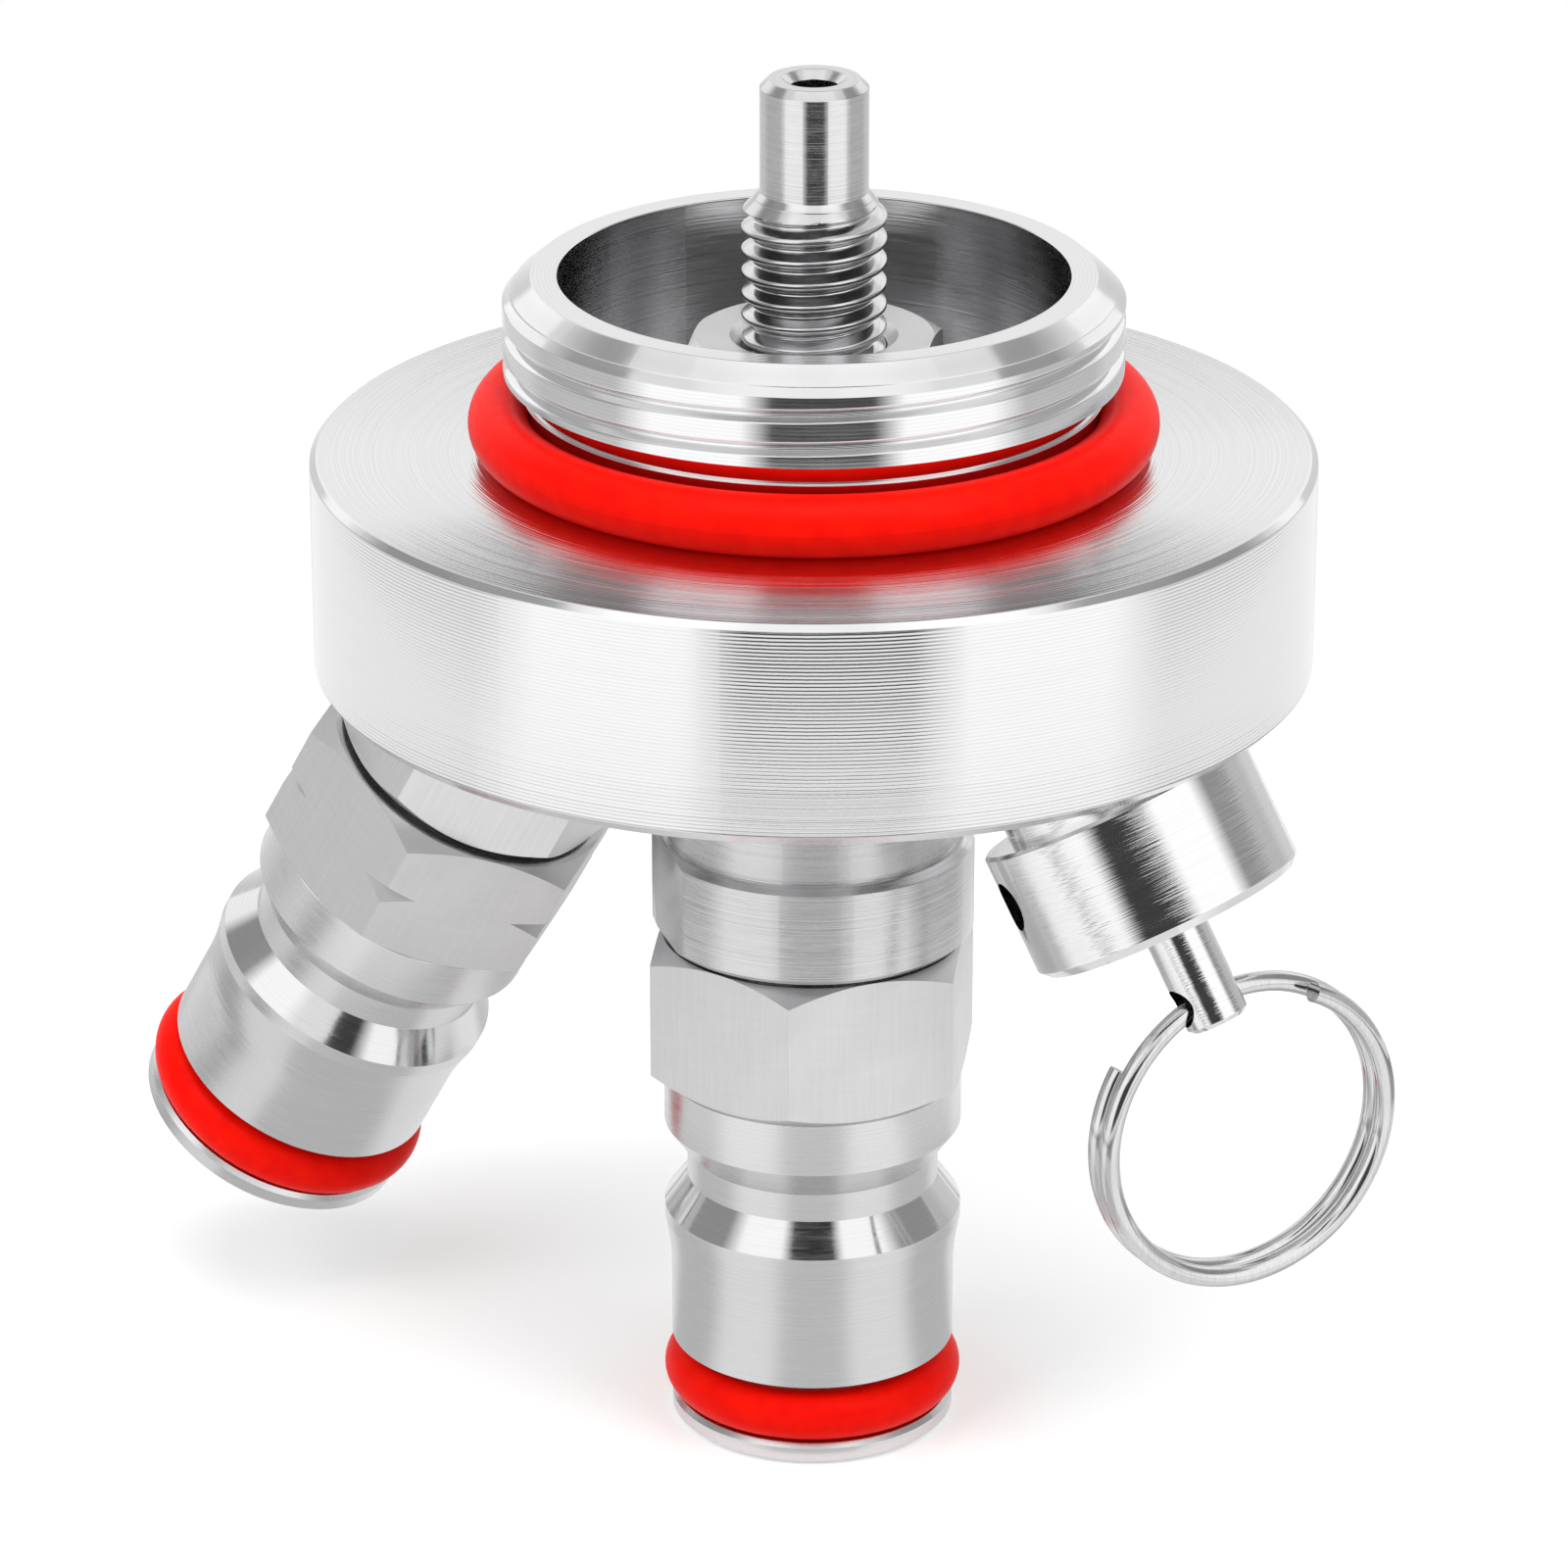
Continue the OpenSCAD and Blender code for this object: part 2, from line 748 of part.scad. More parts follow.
module relief_body() {
    nozzle_r = inlet_d / 2 + 0.7;
    color(polished)
        port(0)
            difference() {
                union() {
                    port_neck(inlet_d);
                    turned([
                        [0, port_stand], [valve_d / 2 - 0.2, port_stand],
                        [valve_d / 2, port_stand + 0.2], [valve_d / 2, valve_low - valve_edge],
                        [valve_d / 2 - valve_edge, valve_low], [0, valve_low]
                    ]);
                }
                turned([
                    [0, thread_end - 1], [inlet_d / 2, thread_end - 1],
                    [inlet_d / 2, chamber_floor + nozzle_h],
                    [nozzle_r, chamber_floor + nozzle_h], [nozzle_r + 0.4, chamber_floor],
                    [relief_chamber_d / 2, chamber_floor], [relief_chamber_d / 2, cap_top],
                    [cap_d / 2, cap_top], [cap_d / 2, valve_low + 1], [0, valve_low + 1]
                ]);
                for (side = [0, 180])
                    rotate([0, 0, vent_turn + side])
                        translate([0, 0, port_stand + vent_drop])
                            rotate([0, 90, 0])
                                cylinder(d = vent_d, h = valve_d);
            }
}

module relief_port_seal() {
    port(0) port_seal();
}

// Screwed cap with the sleeve that guides the pull stem and stops its foot
module relief_cap() {
    key_d = 1.3;
    color(polished)
        port(0)
            difference() {
                turned([
                    [guide_bore / 2, sleeve_top], [sleeve_d / 2, sleeve_top],
                    [sleeve_d / 2, cap_top], [cap_d / 2 - cap_play, cap_top],
                    [cap_d / 2 - cap_play, valve_low - cap_sink],
                    [guide_bore / 2, valve_low - cap_sink]
                ]);
                for (side = [0, 180])
                    rotate([0, 0, side])
                        translate([cap_d / 2 - 1.4 * key_d, 0, valve_low - key_d])
                            cylinder(d = key_d, h = 2 * key_d, $fn = 24);
            }
}

module relief_stem() {
    color(polished)
        port(0)
            difference() {
                turned([
                    [0, foot_top], [foot_d / 2, foot_top], [foot_d / 2, foot_low - 0.2],
                    [foot_d / 2 - 0.2, foot_low], [pull_d / 2, foot_low],
                    [pull_d / 2, pull_end - 0.25], [pull_d / 2 - 0.25, pull_end],
                    [0, pull_end]
                ]);
                rotate([0, 0, 90 + cross_turn])
                    translate([-pull_d, 0, cross_at])
                        rotate([0, 90, 0])
                            cylinder(d = cross_d, h = 2 * pull_d);
            }
}

module relief_disc() {
    color(black_rubber)
        port(0)
            translate([0, 0, disc_top])
                cylinder(d = foot_d - 0.4, h = disc_t);
}

module relief_spring() {
    coil_d = sleeve_d + 2 * relief_room + relief_wire;
    color(spring_steel)
        port(0)
            translate([0, 0, foot_low + touch])
                spring(coil_d, relief_wire, relief_coils, cap_top - foot_low - 2 * touch);
}

// Split ring: one wire wound about the hang direction, its middle turn in the cross hole
module pull_ring() {
    sides = 10;
    steps = round(ring_turns * 40);
    pitch = ring_wire * 1.04;
    centre = hang_point + ring_r * hang_dir;
    points = [
        for (i = [0:steps], j = [0:sides - 1])
            let (
                a = 360 * ring_turns * (i / steps - 0.5),
                b = 360 * j / sides,
                r = ring_r + ring_wire / 2 * cos(b),
                rise = pitch * a / 360 + ring_wire / 2 * sin(b)
            )
                centre - r * cos(a) * hang_dir - r * sin(a) * cross_dir + rise * ring_normal
    ];
    color(polished) from_face() wire_skin(points, steps, sides);
}

lid();
neck_seal();
liquid_stem();
stem_seal();
stem_washer();
stem_nut();
liquid_post();
liquid_ring_seal();
liquid_stub_seal();
liquid_valve();
liquid_valve_rubber();
liquid_spring();
gas_adapter();
gas_port_seal();
gas_post();
gas_ring_seal();
gas_stub_seal();
gas_valve();
gas_valve_rubber();
gas_spring();
relief_body();
relief_port_seal();
relief_cap();
relief_stem();
relief_disc();
relief_spring();
pull_ring();
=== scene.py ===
"""Looks of the mini keg spear: threads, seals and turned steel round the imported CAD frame."""

import json
import logging
import math
from dataclasses import dataclass, field, replace
from enum import Enum
from typing import Sequence

import bmesh
import bpy
from mathutils import Matrix, Vector

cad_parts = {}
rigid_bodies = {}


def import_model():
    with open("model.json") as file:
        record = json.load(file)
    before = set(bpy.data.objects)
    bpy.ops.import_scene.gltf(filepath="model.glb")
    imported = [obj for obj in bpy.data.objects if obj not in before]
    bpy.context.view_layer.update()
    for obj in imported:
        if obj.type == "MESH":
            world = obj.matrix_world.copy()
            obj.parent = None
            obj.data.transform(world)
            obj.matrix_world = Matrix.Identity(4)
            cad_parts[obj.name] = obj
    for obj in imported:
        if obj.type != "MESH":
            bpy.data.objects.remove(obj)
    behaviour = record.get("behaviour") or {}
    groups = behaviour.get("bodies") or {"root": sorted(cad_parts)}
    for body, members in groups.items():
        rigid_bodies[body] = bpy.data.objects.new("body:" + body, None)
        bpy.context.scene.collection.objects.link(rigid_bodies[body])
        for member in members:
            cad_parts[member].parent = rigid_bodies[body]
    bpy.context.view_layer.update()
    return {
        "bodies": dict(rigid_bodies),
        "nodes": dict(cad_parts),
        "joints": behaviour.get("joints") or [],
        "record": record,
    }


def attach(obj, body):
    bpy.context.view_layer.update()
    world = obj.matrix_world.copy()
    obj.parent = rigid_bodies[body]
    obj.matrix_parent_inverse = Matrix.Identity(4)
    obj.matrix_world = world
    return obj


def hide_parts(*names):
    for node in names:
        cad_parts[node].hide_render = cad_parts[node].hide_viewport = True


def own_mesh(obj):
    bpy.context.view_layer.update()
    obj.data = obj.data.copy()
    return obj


log = logging.getLogger("keg_spear")

MM = 0.001
# Vertices nearer than this in millimetres become one
MERGE = 1e-4
# Heights nearer than this in millimetres are the same level
LEVEL = 1e-3
# An edge with a greater angle stays sharp
SHARP = math.radians(32)
# Most of a noise lies in the first range, and a mask in the second
NOISE = (0.3, 0.7)
FULL = (0.0, 1.0)

Outline = list[tuple[float, float]]
Colour = tuple[float, float, float]
Socket = bpy.types.NodeSocket
Value = bpy.types.NodeSocket | float | Sequence[float]
Inputs = dict[str | int, Value]


class Body(Enum):
    """Bodies of the CAD frame that new pieces ride on."""

    HEAD = "head"
    RING = "ring"


class Slot(Enum):
    """Material slots of the record, one named for each new piece."""

    SATIN = "satin_steel"
    POLISHED = "polished_steel"
    SPRING = "spring_steel"


@dataclass(frozen=True)
class PartAxis:
    """Own axis of a piece in the frame of the whole part, in millimetres and radians."""

    place: tuple[float, float, float] = (0.0, 0.0, 0.0)
    lean: float = 0.0
    heading: float = 0.0

    def matrix(self) -> Matrix:
        """Returns the matrix from the piece's own millimetres to metres in the frame."""
        turn = Matrix.Rotation(self.heading, 4, "Z") @ Matrix.Rotation(self.lean, 4, "Y")
        return Matrix.Translation(Vector(self.place) * MM) @ turn @ Matrix.Scale(MM, 4)


@dataclass(frozen=True)
class Levels:
    """Main sizes of the fitting in millimetres; heights count from the lid's sealing face."""

    face: float = -6.6
    lid_r: float = 27.5
    lid_h: float = 12.3
    port_off: float = 16.4
    tilt: float = math.radians(30)

    def upright(self) -> PartAxis:
        """Returns the axis of the lid and stem, with its zero on the sealing face."""
        return PartAxis((0.0, 0.0, self.face))

    def hanging(self, drop: float) -> PartAxis:
        """Returns an axis that runs down from a distance below the sealing face."""
        return PartAxis((0.0, 0.0, self.face - drop), math.pi, math.pi)

    def port(self, side: int, out: float = 0.0) -> PartAxis:
        """Gives the axis of a side port.

        Args:
            side: 1 for the relief valve, -1 for the gas post.
            out: Distance along the port from the underside of the lid.

        Returns:
            The axis with its zero at that distance.
        """
        reach = self.port_off + out * math.sin(self.tilt)
        drop = self.lid_h + out * math.cos(self.tilt)
        heading = 0.0 if side > 0 else math.pi
        return PartAxis((side * reach, 0.0, self.face - drop), math.pi - self.tilt, heading)


LEVELS = Levels()


class NodeBench:
    """Node tree with short calls for the nodes that the materials need."""

    def __init__(self, tree: bpy.types.NodeTree) -> None:
        """Takes the tree that the calls add to."""
        self.tree = tree

    def feed(self, node: bpy.types.Node, inputs: Inputs) -> bpy.types.Node:
        """Links or sets inputs of a node.

        Args:
            node: Node of the tree.
            inputs: Name or place of each input, with a socket or a plain value.

        Returns:
            The same node.
        """
        for key, value in inputs.items():
            if isinstance(value, bpy.types.NodeSocket):
                self.tree.links.new(value, node.inputs[key])
            else:
                node.inputs[key].default_value = value
        return node

    def add(self, kind: str, inputs: Inputs | None = None, **settings: object) -> bpy.types.Node:
        """Adds a node.

        Args:
            kind: Type of the node.
            inputs: Name or place of each input, with a socket or a plain value.
            settings: Properties of the node, set before its inputs.

        Returns:
            The new node.
        """
        node = self.tree.nodes.new(kind)
        for name, value in settings.items():
            setattr(node, name, value)
        return self.feed(node, inputs or {})

    def math(self, operation: str, *values: Value) -> Socket:
        """Returns the result of a Math node on sockets or numbers."""
        return self.add("ShaderNodeMath", dict(enumerate(values)), operation=operation).outputs[0]

    def scaled(self, place: Socket, rate: Value) -> Socket:
        """Returns a place vector times a factor."""
        return self.add("ShaderNodeVectorMath", {0: place, "Scale": rate}, operation="SCALE").outputs[0]

    def radius(self, x: Socket, y: Socket) -> Socket:
        """Returns the distance from the Z axis."""
        return self.math("SQRT", self.math("ADD", self.math("MULTIPLY", x, x), self.math("MULTIPLY", y, y)))

    def noise(self, position: Socket, detail: float, rough: float, dims: str = "3D") -> Socket:
        """Adds a Noise Texture.

        Args:
            position: Socket with the place to look up, a number for one dimension.
            detail: Octaves of the noise.
            rough: Roughness of the octaves.
            dims: "1D" or "3D".

        Returns:
            The noise value's socket.
        """
        look = {"W" if dims == "1D" else "Vector": position}
        inputs = {"Scale": 1.0, "Detail": detail, "Roughness": rough, **look}
        return self.add("ShaderNodeTexNoise", inputs, noise_dimensions=dims).outputs["Fac"]

    def ramp(self, value: Socket, source: tuple[float, float], target: tuple[float, float]) -> Socket:
        """Returns a value mapped from the source range to the target range."""
        ranges = zip(("From Min", "From Max", "To Min", "To Max"), source + target)
        return self.add("ShaderNodeMapRange", {"Value": value, **dict(ranges)}).outputs["Result"]

    def mix(self, factor: Socket, low: Value, high: Value, kind: str = "FLOAT") -> Socket:
        """Returns low where the factor is 0 and high where it is 1; the kind is "FLOAT" or "RGBA"."""
        inputs = {"Factor": factor, "A": low, "B": high}
        return self.add("ShaderNodeMix", inputs, data_type=kind).outputs["Result"]

    def tint(self, mask: Socket, dark: Colour, light: Colour) -> Socket:
        """Returns a colour between dark, where the mask is 0, and light, where it is 1."""
        return self.mix(mask, (*dark, 1.0), (*light, 1.0), "RGBA")

    def blend(self, factor: Socket, low: Socket, high: Socket) -> Socket:
        """Returns a mix of two shaders."""
        return self.add("ShaderNodeMixShader", {0: factor, 1: low, 2: high}).outputs[0]

    def split(self, vector: Socket) -> Sequence[Socket]:
        """Returns the three parts of a vector."""
        return self.add("ShaderNodeSeparateXYZ", {0: vector}).outputs

    def object_place(self) -> Socket:
        """Returns the Object coordinates."""
        return self.add("ShaderNodeTexCoord").outputs["Object"]

    def seen(self) -> Socket:
        """Returns a mask that is 1 for the camera and for reflections."""
        path = self.add("ShaderNodeLightPath")
        return self.math("MAXIMUM", path.outputs["Is Camera Ray"], path.outputs["Is Glossy Ray"])

    def on_axis(self, axis: PartAxis) -> Socket:
        """Puts Object coordinates on a piece's own axis.

        Args:
            axis: Axis of the piece.

        Returns:
            The socket with the coordinates along that axis, in metres.
        """
        inputs = {
            "Vector": self.object_place(),
            "Location": Vector(axis.place) * MM,
            "Rotation": (0.0, axis.lean, axis.heading),
        }
        return self.add("ShaderNodeMapping", inputs, vector_type="TEXTURE").outputs["Vector"]


def new_material(name: str, bare: bool = False) -> tuple[bpy.types.Material, NodeBench]:
    """Makes a material.

    Args:
        name: Name of the material.
        bare: Whether it starts without any nodes.

    Returns:
        The material and the bench of its tree.
    """
    material = bpy.data.materials.new(name)
    material.use_nodes = True
    if bare:
        material.node_tree.nodes.clear()
    return material, NodeBench(material.node_tree)


class ShaderParts:
    """Shader node groups shared by the finishes, each built once."""

    def __init__(self) -> None:
        """Builds the groups."""
        self.lathe = self._lathe_marks()
        self.grain = self._bar_grain()
        self.cast = self._moulded_skin()

    @staticmethod
    def _group(
        name: str, rates: dict[str, float], results: Sequence[str]
    ) -> tuple[NodeBench, Sequence[Socket]]:
        """Starts a node group that takes a vector and some numbers.

        Args:
            name: Name of the group.
            rates: Name and default of each number.
            results: Names of the numbers that the group puts out.

        Returns:
            The bench of the group and the sockets that it takes.
        """
        tree = bpy.data.node_groups.new(name, "ShaderNodeTree")
        tree.interface.new_socket("Vector", in_out="INPUT", socket_type="NodeSocketVector")
        for label, value in rates.items():
            socket = tree.interface.new_socket(label, in_out="INPUT", socket_type="NodeSocketFloat")
            socket.default_value = value
        for label in results:
            tree.interface.new_socket(label, in_out="OUTPUT", socket_type="NodeSocketFloat")
        bench = NodeBench(tree)
        return bench, bench.add("NodeGroupInput").outputs

    def _lathe_marks(self) -> bpy.types.NodeTree:
        """Makes the marks that a lathe leaves: rings round the piece's own Z axis.

        Returns:
            The group, which puts out the rings and broader streaks.
        """
        rates = {"Feed": 0.2, "Wander": 0.02, "Evenness": 0.0}
        bench, given = self._group("lathe_marks", rates, ("Rings", "Streaks"))
        x, y, z = bench.split(given["Vector"])
        # Radius and height give one number along any turned outline
        # Their rates differ, so that cones of 45 degrees keep their rings
        across, up = bench.math("MULTIPLY", bench.radius(x, y), 930.0), bench.math("MULTIPLY", z, 1 / MM)
        along = bench.math("ADD", across, up)
        drift = bench.noise(bench.scaled(given["Vector"], 350.0), 1.0, 0.5)
        wander = bench.math("MULTIPLY", bench.math("SUBTRACT", drift, 0.5), given["Wander"])
        place = bench.math("DIVIDE", bench.math("ADD", along, wander), given["Feed"])
        uneven = bench.noise(place, 2.0, 0.6, "1D")
        wave = bench.math("SINE", bench.math("MULTIPLY", place, 2 * math.pi))
        rings = bench.mix(given["Evenness"], uneven, bench.ramp(wave, (-1.0, 1.0), (0.2, 0.8)))
        # Streaks run round the piece, a few to a radian and a few to a millimetre
        rolled_out = {
            0: bench.math("MULTIPLY", bench.math("ARCTAN2", y, x), 2.6),
            1: bench.math("MULTIPLY", along, 2.5),
        }
        streaks = bench.noise(bench.add("ShaderNodeCombineXYZ", rolled_out).outputs[0], 4.0, 0.65)
        bench.add("NodeGroupOutput", {"Rings": rings, "Streaks": streaks})
        return bench.tree

    def _bar_grain(self) -> bpy.types.NodeTree:
        """Makes the grain of a drawn bar: fine streaks along the piece's own Z axis.

        Returns:
            The group, which puts out the grain and broader clouds.
        """
        bench, given = self._group("bar_grain", {"Across": 6000.0, "Along": 220.0}, ("Grain", "Clouds"))
        x, y, z = bench.split(given["Vector"])
        rates = ((x, given["Across"]), (y, given["Across"]), (z, given["Along"]))
        parts = [bench.math("MULTIPLY", part, rate) for part, rate in rates]
        stretched = bench.add("ShaderNodeCombineXYZ", dict(enumerate(parts))).outputs[0]
        clouds = bench.noise(bench.scaled(given["Vector"], 320.0), 2.0, 0.5)
        bench.add("NodeGroupOutput", {"Grain": bench.noise(stretched, 3.0, 0.65), "Clouds": clouds})
        return bench.tree

    def _moulded_skin(self) -> bpy.types.NodeTree:
        """Makes the faint waviness and dust of a moulded rubber ring.

        Returns:
            The group, which puts out the waves and the specks.
        """
        bench, given = self._group("moulded_skin", {"Fineness": 900.0}, ("Waves", "Specks"))
        waves = bench.noise(bench.scaled(given["Vector"], given["Fineness"]), 1.0, 0.5)
        fine = bench.scaled(given["Vector"], bench.math("MULTIPLY", given["Fineness"], 7.0))
        bench.add("NodeGroupOutput", {"Waves": waves, "Specks": bench.noise(fine, 2.0, 0.5)})
        return bench.tree


class Mark(Enum):
    """Ways of making that leave marks on steel."""

    TURNED = "turned"
    DRAWN = "drawn"


@dataclass(frozen=True)
class Zone:
    """Stretch of a piece along its own axis, in millimetres.

    There the finish is rougher by more_rough, and its relief is depth times as high.
    """

    low: float
    high: float
    more_rough: float = 0.0
    depth: float = 1.0

    def mask(self, bench: NodeBench, height: Socket) -> Socket:
        """Returns a mask that is 1 in the stretch and 0 elsewhere; the height is in metres."""
        over = bench.math("GREATER_THAN", height, self.low * MM)
        return bench.math("MULTIPLY", over, bench.math("LESS_THAN", height, self.high * MM))


@dataclass(frozen=True)
class SteelFinish:
    """Stainless steel with the marks of how it was made.

    Tone is the lightest reflectance and spread what the marks take off it. Gloss is the range of the
    roughness. Feed is the distance between rings and relief their height in millimetres. Lean is the
    slope of each cut of a facing tool. Bar is a stretch that keeps the grain of the drawn bar. The last
    three values hold for every steel: its least roughness, the bar's gloss and the stain's contrast.
    """

    mark: Mark
    tone: float = 0.72
    spread: float = 0.10
    gloss: tuple[float, float] = (0.20, 0.30)
    feed: float = 0.2
    wander: float = 0.02
    evenness: float = 0.0
    relief: float = 0.004
    scratch: float = 0.0
    lean: float = 0.0
    zones: tuple[Zone, ...] = ()
    bar: Zone | None = None

    least_rough: float = 0.03
    bar_gloss: tuple[float, float] = (0.34, 0.44)
    stained: tuple[float, float] = (0.3, 0.65)

    def marks(
        self, bench: NodeBench, groups: ShaderParts, place: Socket, mark: Mark
    ) -> tuple[Socket, Socket]:
        """Adds the marks of one way of making.

        Args:
            bench: Bench to add the nodes with.
            groups: Shared shader groups.
            place: Socket with the piece's own place.
            mark: Way of making.

        Returns:
            Sockets with the fine and the broad marks.
        """
        if mark is Mark.DRAWN:
            group = bench.add("ShaderNodeGroup", {"Vector": place}, node_tree=groups.grain)
        else:
            rates = {"Feed": self.feed, "Wander": self.wander, "Evenness": self.evenness}
            group = bench.add("ShaderNodeGroup", {"Vector": place, **rates}, node_tree=groups.lathe)
        return group.outputs[0], group.outputs[1]

    def build(self, name: str, groups: ShaderParts, axis: PartAxis) -> bpy.types.Material:
        """Makes the material.

        Args:
            name: Name of the material.
            groups: Shared shader groups.
            axis: Axis that the marks follow.

        Returns:
            The new material.
        """
        material, bench = new_material(name)
        place = bench.on_axis(axis)
        x, y, height = bench.split(place)
        fine, broad = self.marks(bench, groups, place, self.mark)
        rough = bench.ramp(broad, NOISE, self.gloss)
        depths = []
        for zone in self.zones:
            mask = zone.mask(bench, height)
            rough = bench.math("ADD", rough, bench.math("MULTIPLY", mask, zone.more_rough))
            rough = bench.math("MAXIMUM", rough, self.least_rough)
            depths.append(bench.ramp(mask, FULL, (1.0, zone.depth)))
        if self.bar:
            mask = self.bar.mask(bench, height)
            grain, clouds = self.marks(bench, groups, place, Mark.DRAWN)
            fine = bench.mix(mask, fine, grain)
            rough = bench.mix(mask, rough, bench.ramp(clouds, NOISE, self.bar_gloss))
        carved = bench.math("ADD", fine, bench.math("MULTIPLY", broad, self.scratch))
        for depth in depths:
            carved = bench.math("MULTIPLY", carved, depth)
        if self.lean:
            drop = bench.math("MULTIPLY", bench.radius(x, y), self.lean / (self.relief * MM))
            carved = bench.math("SUBTRACT", carved, drop)
        light, dark = ((tone, tone, tone * 1.01) for tone in (self.tone, self.tone - self.spread))
        stain = bench.math("ADD", bench.math("MULTIPLY", fine, 0.6), bench.math("MULTIPLY", broad, 0.4))
        colour = bench.tint(bench.ramp(stain, self.stained, FULL), dark, light)
        bump = bench.add("ShaderNodeBump", {"Strength": 1.0, "Distance": self.relief * MM, "Height": carved})
        bench.feed(
            material.node_tree.nodes["Principled BSDF"],
            {"Metallic": 1.0, "Base Color": colour, "Roughness": rough, "Normal": bump.outputs["Normal"]},
        )
        return material


@dataclass(frozen=True)
class RubberFinish:
    """Moulded rubber or silicone."""

    colour: Colour
    dark: Colour
    gloss: tuple[float, float]
    shine: float
    relief: float = 0.01

    def build(self, name: str, groups: ShaderParts) -> bpy.types.Material:
        """Makes the material.

        Args:
            name: Name of the material.
            groups: Shared shader groups.

        Returns:
            The new material.
        """
        material, bench = new_material(name)
        group = bench.add("ShaderNodeGroup", {"Vector": bench.object_place()}, node_tree=groups.cast)
        waves, specks = group.outputs
        colour = bench.tint(bench.ramp(waves, NOISE, FULL), self.dark, self.colour)
        bump = bench.add("ShaderNodeBump", {"Distance": self.relief * MM, "Height": specks})
        bench.feed(
            material.node_tree.nodes["Principled BSDF"],
            {
                "Specular IOR Level": self.shine,
                "Base Color": colour,
                "Roughness": bench.ramp(specks, NOISE, self.gloss),
                "Normal": bump.outputs["Normal"],
            },
        )
        return material


def eased(outline: Outline, radius: float, steps: int = 3) -> Outline:
    """Rounds the corners of an outline and puts a guard point beside each round.

    Args:
        outline: Points as radius and height, in millimetres.
        radius: Radius of the rounds.
        steps: Segments of each round.

    Returns:
        The outline with its inner corners rounded.
    """
    most, guard = 0.35, 0.1  # shares of a side that a round and its guard point may take
    straight, least = math.radians(12), 0.004  # a flatter corner or a smaller round is left as it is
    out: Outline = [outline[0]]
    for before, here, after in zip(outline, outline[1:], outline[2:]):
        corner = Vector(here)
        a, b = Vector(before) - corner, Vector(after) - corner
        turn = math.pi - a.angle(b)
        cut = min(radius * math.tan(turn / 2), most * a.length, most * b.length)
        if turn < straight or cut < least:
            out.append(here)
            continue
        gap = 0.25 * cut + 0.02
        start, end = corner + a.normalized() * cut, corner + b.normalized() * cut
        out.append(tuple(start + a.normalized() * min(gap, guard * a.length)))
        for i in range(steps + 1):
            t = i / steps
            out.append(tuple((1 - t) ** 2 * start + 2 * t * (1 - t) * corner + t * t * end))
        out.append(tuple(end + b.normalized() * min(gap, guard * b.length)))
    out.append(outline[-1])
    return out


def chain(bm: bmesh.types.BMesh, points: Outline) -> list:
    """Returns the new vertices and edges of an open outline in the XZ plane."""
    verts = [bm.verts.new((r, 0.0, z)) for r, z in points]
    return verts + [bm.edges.new(pair) for pair in zip(verts, verts[1:])]


def spun(
    bm: bmesh.types.BMesh, geom: list, steps: int, turns: float = 1.0, rise: float = 0.0, merge: bool = False
) -> list:
    """Spins geometry round the Z axis.

    Args:
        bm: Mesh that the geometry belongs to.
        geom: Vertices, edges or faces to spin.
        steps: Segments of the whole spin.
        turns: Number of turns.
        rise: Height gained over the whole spin.
        merge: Whether the end joins the start.

    Returns:
        The geometry at the end of the spin.
    """
    return bmesh.ops.spin(
        bm, geom=geom, cent=(0, 0, 0), axis=(0, 0, 1), dvec=(0, 0, rise / steps), angle=2 * math.pi * turns,
        steps=steps, use_merge=merge, use_normal_flip=False, use_duplicate=False,
    )["geom_last"]


def turned(outline: Outline, steps: int) -> bmesh.types.BMesh:
    """Turns an outline into a full round.

    Args:
        outline: Points as radius and height, in millimetres.
        steps: Segments of the full turn.

    Returns:
        The turned mesh, in millimetres on its own axis.
    """
    bm = bmesh.new()
    spun(bm, chain(bm, outline), steps, merge=True)
    bmesh.ops.remove_doubles(bm, verts=bm.verts, dist=MERGE)
    bmesh.ops.recalc_face_normals(bm, faces=bm.faces)
    return bm


def wire_end(wire_r: float, segments: int, coil_r: float, height: float) -> bmesh.types.BMesh:
    """Makes the round section that a coil of wire starts from.

    Args:
        wire_r: Radius of the wire.
        segments: Sides of the section.
        coil_r: Distance of the section from the Z axis.
        height: Height of its middle.

    Returns:
        A mesh with one face, which stands on the XZ plane.
    """
    bm = bmesh.new()
    bmesh.ops.create_circle(bm, cap_ends=True, radius=wire_r, segments=segments)
    bmesh.ops.rotate(bm, cent=(0, 0, 0), matrix=Matrix.Rotation(math.pi / 2, 3, "X"), verts=bm.verts)
    bmesh.ops.translate(bm, vec=(coil_r, 0, height), verts=bm.verts)
    return bm


def soften(bm: bmesh.types.BMesh) -> None:
    """Makes the faces of a mesh smooth and keeps its sharp edges.

    Args:
        bm: Mesh in metres or millimetres.
    """
    for face in bm.faces:
        face.smooth = True
    for edge in bm.edges:
        edge.smooth = len(edge.link_faces) != 2 or edge.calc_face_angle(0.0) < SHARP


def finish_piece(bm: bmesh.types.BMesh, name: str, axis: PartAxis = PartAxis()) -> bpy.types.Object:
    """Turns a mesh in its own millimetres into an object of the scene.

    Args:
        bm: Mesh on its own axis; it is used up.
        name: Name of the piece.
        axis: Where that axis lies.

    Returns:
        The object, at the origin and unturned.
    """
    bmesh.ops.transform(bm, matrix=axis.matrix(), verts=bm.verts)
    bmesh.ops.recalc_face_normals(bm, faces=bm.faces)
    soften(bm)
    mesh = bpy.data.meshes.new(name)
    bm.to_mesh(mesh)
    bm.free()
    piece = bpy.data.objects.new(name, mesh)
    bpy.context.scene.collection.objects.link(piece)
    return piece


